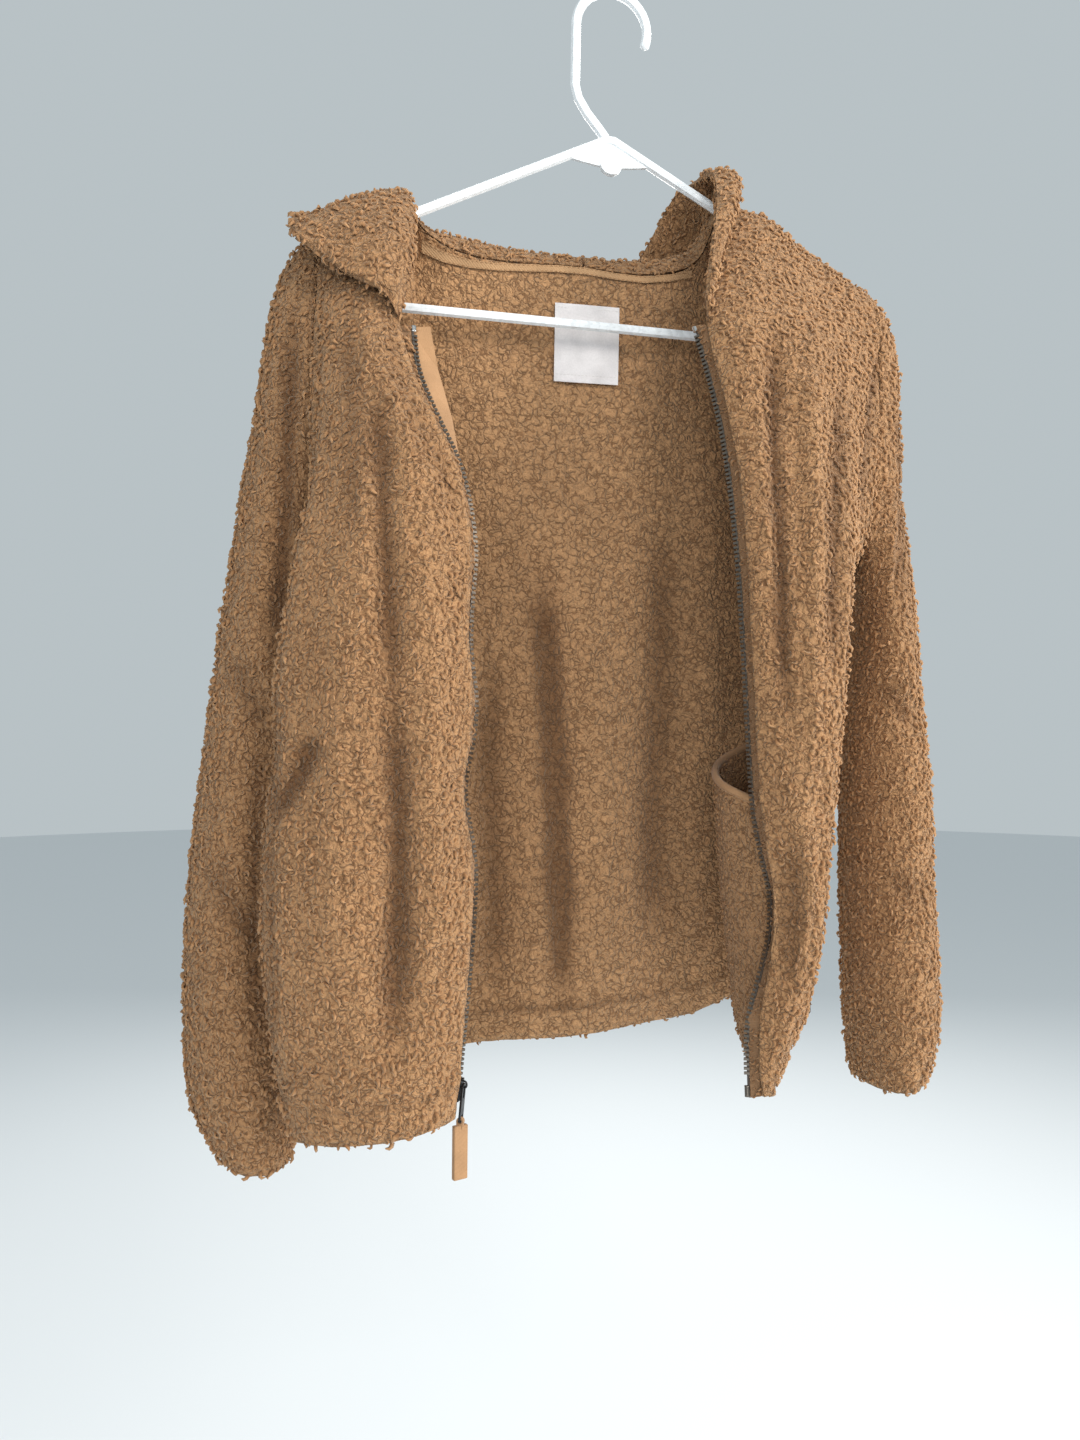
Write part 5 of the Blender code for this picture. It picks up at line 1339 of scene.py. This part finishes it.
@dataclass
class FleecePanel:
    """One cut and sewn piece of fleece: its shell, and the curls that stand on it."""

    node: str
    cut: tuple[float, float]
    area: float
    outer: Outer
    held: str = "hung"
    inside_pile: float = 0.0
    outside_pile: float = 1.0
    creases: tuple[Crease, ...] = ()
    hem: float | None = None
    spacing: float = 3.8 * MM
    seed: int = 1
    rests_on: tuple[str, ...] = ("hanger",)
    sink: float = 0.5 * MM
    clump: float = 0.7 * MM
    shell: bpy.types.Object | None = field(default=None, init=False)
    locks: bpy.types.Object | None = field(default=None, init=False)

    HEM_PRESS: ClassVar[float] = 1.6 * MM  # how deep the hem's seam is pressed in
    HEM_REACH: ClassVar[float] = 2.6 * MM  # how far from the seam that is felt
    FULL_FOLD_SHADE: ClassVar[float] = 6 * MM  # a crease this deep gets the fullest painted shade of a fold
    FRINGE: ClassVar[float] = 2.8 * MM  # the locks' spacing along the zip
    ZIP_ROWS: ClassVar[tuple[Any, ...]] = ((1.8, 1.0), (4.5, 1.4), (8.0, 1.8))  # the ribbon: mm in, mm out
    SEWN_PILE: ClassVar[float] = 0.35  # the pile's share beside the zip

    def build(self, finishes: Finishes, tree: bpy.types.GeometryNodeTree) -> None:
        """Args:
            finishes: the materials.
            tree: the lock field's node tree.
        """
        self.shell = self.make_shell(finishes)
        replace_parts(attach(self.shell, JACKET), self.node)
        pieces = []
        if self.outside_pile > 0 or self.inside_pile > 0:
            field_of_locks = LockField(spacing=self.spacing, seed=self.seed)
            self.locks = field_of_locks.grow(self.shell, f"{self.node}_curls", tree)
            if self.node.startswith("front_"):
                ribbon = self.zip_pile()
                edge_locks = LockField(spacing=self.FRINGE, seed=self.seed + 5)
                fringe = edge_locks.grow(ribbon, f"{self.node}_fringe", tree)
                bpy.data.objects.remove(ribbon)
                self.locks = joined(f"{self.node}_curls", [self.locks, fringe])
            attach(self.locks, JACKET)
            pieces.append(self.locks)
        triangles = sum(len(p.vertices) - 2 for o in [self.shell, *pieces] for p in o.data.polygons)
        LOG.info("%s: shell and curls, %d triangles", self.node, triangles)

    def make_shell(self, finishes: Finishes) -> bpy.types.Object:
        """The panel's form, subdivided, sunk a little below the curls and pressed by its creases.

        Args:
            finishes: the materials.

        Returns:
            The shell, which holds the attributes pile and nap, and the attribute of painted shade in its
            creases and along the hem's seam.
        """
        rough = new_object(f"{self.node}_rough", merged_copy(self.node))
        smooth = rough.modifiers.new("smooth", "SUBSURF")
        smooth.levels = smooth.render_levels = 2
        shell = applied(rough, f"{self.node}_fleece")
        mesh = shell.data
        points, normals = mesh_arrays(mesh)
        sides = self.outer.sides(points, normals)
        outward = normals * sides[:, None]
        press = np.zeros(len(points))
        fold = np.zeros(len(points))
        for crease in self.creases:
            pressed = crease.press(points, outward)
            press += pressed
            # A crease takes painted shade on the face where it is a trough, in proportion to its depth.
            fold += np.maximum(pressed * np.where(sides > 0, 1.0, -1.0), 0.0) / self.FULL_FOLD_SHADE
        hem = self.hem_share(points)
        press += self.HEM_PRESS * hem
        # Painted shade along the hem's seam.
        fold += 0.6 * hem
        clumps = wander(points, 7 * MM, self.seed) + 0.5 * wander(points, 3.5 * MM, self.seed + 9)
        lift = self.clump * clumps * (1 - 0.6 * hem)
        moved = points + normals * (lift - self.sink)[:, None] - outward * press[:, None]
        set_points(mesh, moved)
        outside = sides > 0
        pile = np.where(outside, self.outside_pile, self.inside_pile)
        patchy = 1 + 0.3 * wander(points, 16 * MM, self.seed + 4)
        pile = pile * (1 - 0.75 * hem) * patchy * self.near_zip(points)
        self.store(mesh, "pile", "FLOAT", "value", pile)
        self.store(mesh, "fold", "FLOAT", "value", np.minimum(fold, 1.0))
        drift = 0.5 * np.stack([wander(points, 22 * MM, self.seed + s) for s in (21, 33, 45)], axis=1)
        nap = np.array([0, 0, -1.0]) + 1.6 * drift
        self.store(mesh, "nap", "FLOAT_VECTOR", "vector", nap)
        self.dress(mesh, outside, finishes)
        return shell

    def near_zip(self, points: np.ndarray) -> np.ndarray:
        """How much pile the zip's seam leaves.

        Args:
            points: the panel's points.

        Returns:
            Shares, less than 1 beside the zip.
        """
        side = self.node.removeprefix("front_")
        if side == self.node:
            return np.ones(len(points))
        gap, _ = distance_to_line(points, ZipSide.edges(side)[0])
        return self.SEWN_PILE + (1 - self.SEWN_PILE) * smooth_share(8 * MM, 17 * MM, gap)

    def zip_pile(self) -> bpy.types.Object:
        """A ribbon over the outer face of the zip's tape, where the panel's edge pile leans over it.

        Returns:
            The ribbon, which holds the attributes pile and nap, and the attribute of painted shade beside the
            zip.
        """
        free, held, facing = ZipSide.edges(self.node.removeprefix("front_"))
        across = unit(free - held)
        rows = [free - across * gap * MM + facing * lift * MM for gap, lift in self.ZIP_ROWS]
        points = np.stack(rows, axis=1)
        count = len(points)
        quads = []
        for k in range(count - 1):
            for j in range(2):
                ring = [k * 3 + j, k * 3 + j + 1, k * 3 + j + 4, k * 3 + j + 3]
                a, b, c = (points.reshape(-1, 3)[i] for i in ring[:3])
                quads.append(ring if np.cross(b - a, c - b) @ facing[k] > 0 else ring[::-1])
        mesh = bpy.data.meshes.new("zip_pile")
        mesh.from_pydata(points.reshape(-1, 3).tolist(), [], quads)
        self.store(mesh, "pile", "FLOAT", "value", np.tile([0.6, 0.85, 0.9], count))
        # Painted shade beside the zip, darkest in the row nearest the tape's free edge.
        self.store(mesh, "fold", "FLOAT", "value", np.tile([0.55, 0.35, 0.1], count))
        nap = np.repeat(across, 3, axis=0) * 0.9 + np.array([0.0, 0.0, -0.6])
        self.store(mesh, "nap", "FLOAT_VECTOR", "vector", nap)
        return new_object("zip_pile", mesh)

    def hem_share(self, points: np.ndarray) -> np.ndarray:
        """How near the points are to the hem's seam.

        Args:
            points: the panel's points.

        Returns:
            1 on the seam, falling to 0 a few millimetres away.
        """
        if self.hem is None:
            return np.zeros(len(points))
        foot = self.foot_height(points)
        gap = points[:, 2] - foot - self.hem - 2 * MM * wander(points, 50 * MM, 2.0)
        return np.exp(-((gap / self.HEM_REACH) ** 2))

    @staticmethod
    def foot_height(points: np.ndarray) -> np.ndarray:
        """The height of the panel's lower edge.

        Args:
            points: the panel's points.

        Returns:
            The edge's height below each point.
        """
        columns = np.linspace(points[:, 0].min(), points[:, 0].max(), 40)
        reach = columns[1] - columns[0]
        feet = np.array([points[np.abs(points[:, 0] - x) <= reach, 2].min() for x in columns])
        return np.interp(points[:, 0], columns, feet)

    @staticmethod
    def store(mesh: bpy.types.Mesh, name: str, kind: str, key: str, values: np.ndarray) -> None:
        """Writes an attribute on the mesh's points."""
        layer = mesh.attributes.new(name, kind, "POINT")
        layer.data.foreach_set(key, values.astype(np.float32).ravel())

    @staticmethod
    def dress(mesh: bpy.types.Mesh, outside: np.ndarray, finishes: Finishes) -> None:
        """Gives the outer and the inner face their materials.

        Args:
            mesh: the shell's mesh.
            outside: whether each point is on the outer face.
            finishes: the materials.
        """
        mesh.materials.clear()
        mesh.materials.append(finishes.outside)
        mesh.materials.append(finishes.inside)
        for polygon in mesh.polygons:
            inner = sum(not outside[v] for v in polygon.vertices) > len(polygon.vertices) / 2
            polygon.material_index = int(inner)
            polygon.use_smooth = True


class Jacket:
    """The fleece panels."""

    def __init__(self, finishes: Finishes) -> None:
        """Takes the materials."""
        self.finishes = finishes
        self.panels = self.plan()

    @staticmethod
    def plan() -> list[FleecePanel]:
        """The panels.

        Returns:
            The panels, each with its cut, its creases and its pile.
        """
        hem = 22 * MM  # from the lower edge up to the seam
        return [
            FleecePanel(
                "back", (0.43, 0.63), 0.2304, Outer.BACKWARD, hem=hem, spacing=4.0 * MM, seed=11, creases=(
                    Crease(
                        ((-46, -380), (-41, -455), (-35, -545), (-31, -631), (-30, -750)),
                        11, -8, BEHIND,
                    ),
                    Crease(((-10, -400), (-5, -500), (-1, -603), (3, -720)), 16, 4, BEHIND),
                    Crease(((-76, -440), (-82, -540), (-77, -640), (-80, -740)), 12, -4, BEHIND),
                    Crease(((46, -330), (50, -450), (44, -600), (48, -720)), 14, -4, BEHIND),
                    Crease(((76, -260), (88, -400), (84, -560)), 16, 4, BEHIND),
                    Crease(((-124, -300), (-136, -460), (-128, -640)), 15, 5, BEHIND),
                ),
            ),
            FleecePanel(
                "front_right", (0.21, 0.62), 0.1028, Outer.FRONT_RIGHT, hem=hem, seed=12, creases=(
                    Crease(((-172, -290), (-169, -385), (-166, -440), (-164, -520)), 8, 5),
                    Crease(((-164, -480), (-161, -560), (-160, -620), (-162, -670), (-165, -730)), 9, 5.5),
                    Crease(
                        ((-206, -518), (-216, -543), (-224, -557), (-234, -574)),
                        7, 6, (-0.5, -0.86, 0.0),
                    ),
                    Crease(((-190, -250), (-187, -330), (-189, -420)), 8, 3),
                    Crease(
                        ((-230, -470), (-234, -549), (-236, -610), (-232, -730)),
                        6, 3, (-0.85, -0.5, 0.0),
                    ),
                    Crease(
                        ((-166, -240), (-158, -300), (-149, -330), (-136, -351), (-126, -378), (-122, -420)),
                        7, 2.5,
                    ),
                    Crease(((-144, -380), (-142, -500), (-139, -590), (-143, -690)), 11, -3.5),
                    Crease(((-198, -400), (-196, -500), (-198, -600), (-194, -690)), 12, -3.5),
                ),
            ),
            FleecePanel(
                "front_left", (0.21, 0.62), 0.1024, Outer.FRONT_LEFT, hem=hem, seed=13, creases=(
                    Crease(((93, -230), (87, -292), (83, -347), (81, -400), (80, -464), (84, -540)), 7, 6),
                    Crease(
                        ((127, -223), (112, -303), (107, -372), (102, -438), (98, -510), (93, -580)),
                        7, -4,
                    ),
                    Crease(((147, -260), (134, -335), (122, -385), (115, -438), (112, -500)), 8, 5),
                    Crease(((84, -580), (88, -640), (84, -700)), 9, 3.5),
                    Crease(((194, -236), (178, -290), (168, -336), (160, -400)), 7, 5, (0.6, -0.8, 0.0)),
                ),
            ),
            FleecePanel(
                "sleeve_right", (0.24, 0.64), 0.1202, Outer.ROUND, seed=14, creases=(
                    Crease(((-221, -225), (-224, -300), (-225, -374), (-229, -440), (-236, -500)), 8, 5),
                    Crease(((-240, -500), (-244, -580), (-244, -650), (-240, -740)), 7, 3.5),
                    Crease(((-262, -470), (-250, -500), (-236, -520)), 9, 3.5),
                    Crease(((-276, -600), (-256, -640), (-240, -655)), 10, 3.5),
                    Crease(((-230, -250), (-244, -380), (-240, -520)), 10, 4, BEHIND),
                    Crease(((-278, -560), (-256, -590), (-236, -600)), 10, 4, BEHIND),
                ),
            ),
            FleecePanel(
                "sleeve_left", (0.21, 0.62), 0.1027, Outer.ROUND, seed=15, creases=(
                    Crease(((206, -260), (214, -350), (212, -460)), 10, 3.5),
                    Crease(((196, -480), (214, -510), (232, -520)), 10, 3.5),
                    Crease(((198, -620), (218, -640), (240, -636)), 10, 3),
                    Crease(((212, -270), (222, -400), (216, -540)), 10, 4, BEHIND),
                    Crease(((200, -600), (220, -630), (244, -640)), 10, 4, BEHIND),
                ),
            ),
            FleecePanel("hood_right", (0.24, 0.36), 0.0722, Outer.BOTH, seed=16),
            FleecePanel("hood_left", (0.19, 0.32), 0.0482, Outer.BOTH, seed=17),
            FleecePanel(
                "pocket_bag_left", (0.14, 0.2), 0.0255, Outer.BOTH, outside_pile=0.55, seed=18,
                rests_on=("front_left",), sink=0.3 * MM, clump=0.4 * MM,
            ),
            FleecePanel(
                "pocket_bag_right", (0.12, 0.19), 0.0215, Outer.BOTH, outside_pile=0.0, seed=19,
                rests_on=("front_right",), sink=0.3 * MM, clump=0.4 * MM,
            ),
        ]

    def build(self) -> None:
        """Builds every panel."""
        tree = LockField().tree(self.finishes.locks)
        for panel in self.panels:
            panel.build(self.finishes, tree)


# ---------------------------------------------------------------- stage


@dataclass(frozen=True)
class Lamp:
    """A square soft light that looks at the middle of the jacket."""

    name: str
    place: Point
    size: float
    power: float
    colour: Colour

    AIM: ClassVar[Point] = (0.0, 0.0, -0.45)

    def build(self) -> None:
        """Makes the light."""
        data = bpy.data.lights.new(self.name, "AREA")
        data.size = self.size
        data.energy = self.power
        data.color = self.colour
        lamp = bpy.data.objects.new(self.name, data)
        lamp.location = self.place
        aim = Vector(self.AIM) - Vector(self.place)
        lamp.rotation_euler = aim.to_track_quat("-Z", "Y").to_euler()
        bpy.context.scene.collection.objects.link(lamp)


@dataclass(frozen=True)
class Studio:
    """A pale floor, soft lights and the camera."""

    camera_place: Point = (-0.213, -0.742, -0.514)
    camera_turn: float = -12.2
    lens: float = 27.05
    sensor: float = 36.0
    floor_level: float = -1.45
    floor_radius: float = 9.0
    sky_colour: Colour = srgb(204, 214, 218)
    sky_strength: float = 0.8
    floor_colour: Colour = srgb(228, 231, 233)
    lamps: tuple[Lamp, ...] = (
        Lamp("key", (0.35, -1.9, 0.5), 0.6, 17.0, (1.0, 0.97, 0.93)),
        Lamp("side", (1.8, -1.1, 0.0), 1.0, 46.0, (1.0, 0.97, 0.93)),
        Lamp("fill", (-0.7, -1.9, -0.3), 1.0, 15.0, (0.97, 0.98, 1.0)),
        Lamp("back_light", (0.5, 2.0, 0.5), 1.6, 32.0, (1.0, 0.98, 0.95)),
    )

    def build(self) -> None:
        """Makes them all."""
        self.camera()
        self.floor()
        self.sky()
        for lamp in self.lamps:
            lamp.build()

    def camera(self) -> None:
        """The camera, level, turned a little to the wearer's left."""
        data = bpy.data.cameras.new("camera")
        data.lens = self.lens
        data.sensor_width = self.sensor
        data.clip_start = 0.01
        eye = bpy.data.objects.new("camera", data)
        eye.location = self.camera_place
        eye.rotation_euler = (math.radians(90), 0.0, math.radians(self.camera_turn))
        bpy.context.scene.collection.objects.link(eye)
        bpy.context.scene.camera = eye
        bpy.context.scene.view_settings.view_transform = "Standard"

    def floor(self) -> None:
        """A wide plain floor well below the jacket."""
        bpy.ops.mesh.primitive_circle_add(
            vertices=96, radius=self.floor_radius, fill_type="NGON", location=(0, 0, self.floor_level)
        )
        ground = bpy.context.active_object
        ground.name = "floor"
        ground.data.materials.append(FloorPaint("floor_paint", self.floor_colour).build())

    def sky(self) -> None:
        """An even pale surround."""
        world = bpy.data.worlds.new("surround")
        bpy.context.scene.world = world
        world.use_nodes = True
        ground = world.node_tree.nodes["Background"]
        ground.inputs["Color"].default_value = (*self.sky_colour, 1.0)
        ground.inputs["Strength"].default_value = self.sky_strength


def main() -> None:
    """Builds the jacket on its hanger and its studio."""
    for thing in list(bpy.data.objects):
        bpy.data.objects.remove(thing)
    logging.basicConfig(level=logging.INFO, format="%(name)s: %(message)s")
    FRAME.update(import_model())
    finishes = Finishes()
    Studio().build()
    Jacket(finishes).build()
    for side in Side:
        ZipSide(side).build(finishes)
    NeckTrim().build(finishes)
    PocketRim().build(finishes)
    plain = {
        "neck_tape": finishes.twill,
        "label": finishes.label,
        "zip_tape_right": finishes.tape,
        "zip_tape_left": finishes.tape,
        "zip_facing_right": finishes.facing,
        "zip_facing_left": finishes.facing,
        "hanger": finishes.plastic,
        "slider": finishes.enamel,
        "pull_tab": finishes.enamel,
        "puller": finishes.facing,
    }
    for node, material in plain.items():
        mesh = cad_nodes()[node].data
        mesh.materials.clear()
        mesh.materials.append(material)
    for piece in bpy.context.scene.objects:
        if piece.type == "MESH":
            LOG.info("%s: %d faces", piece.name, len(piece.data.polygons))


if __name__ == "__main__":
    main()
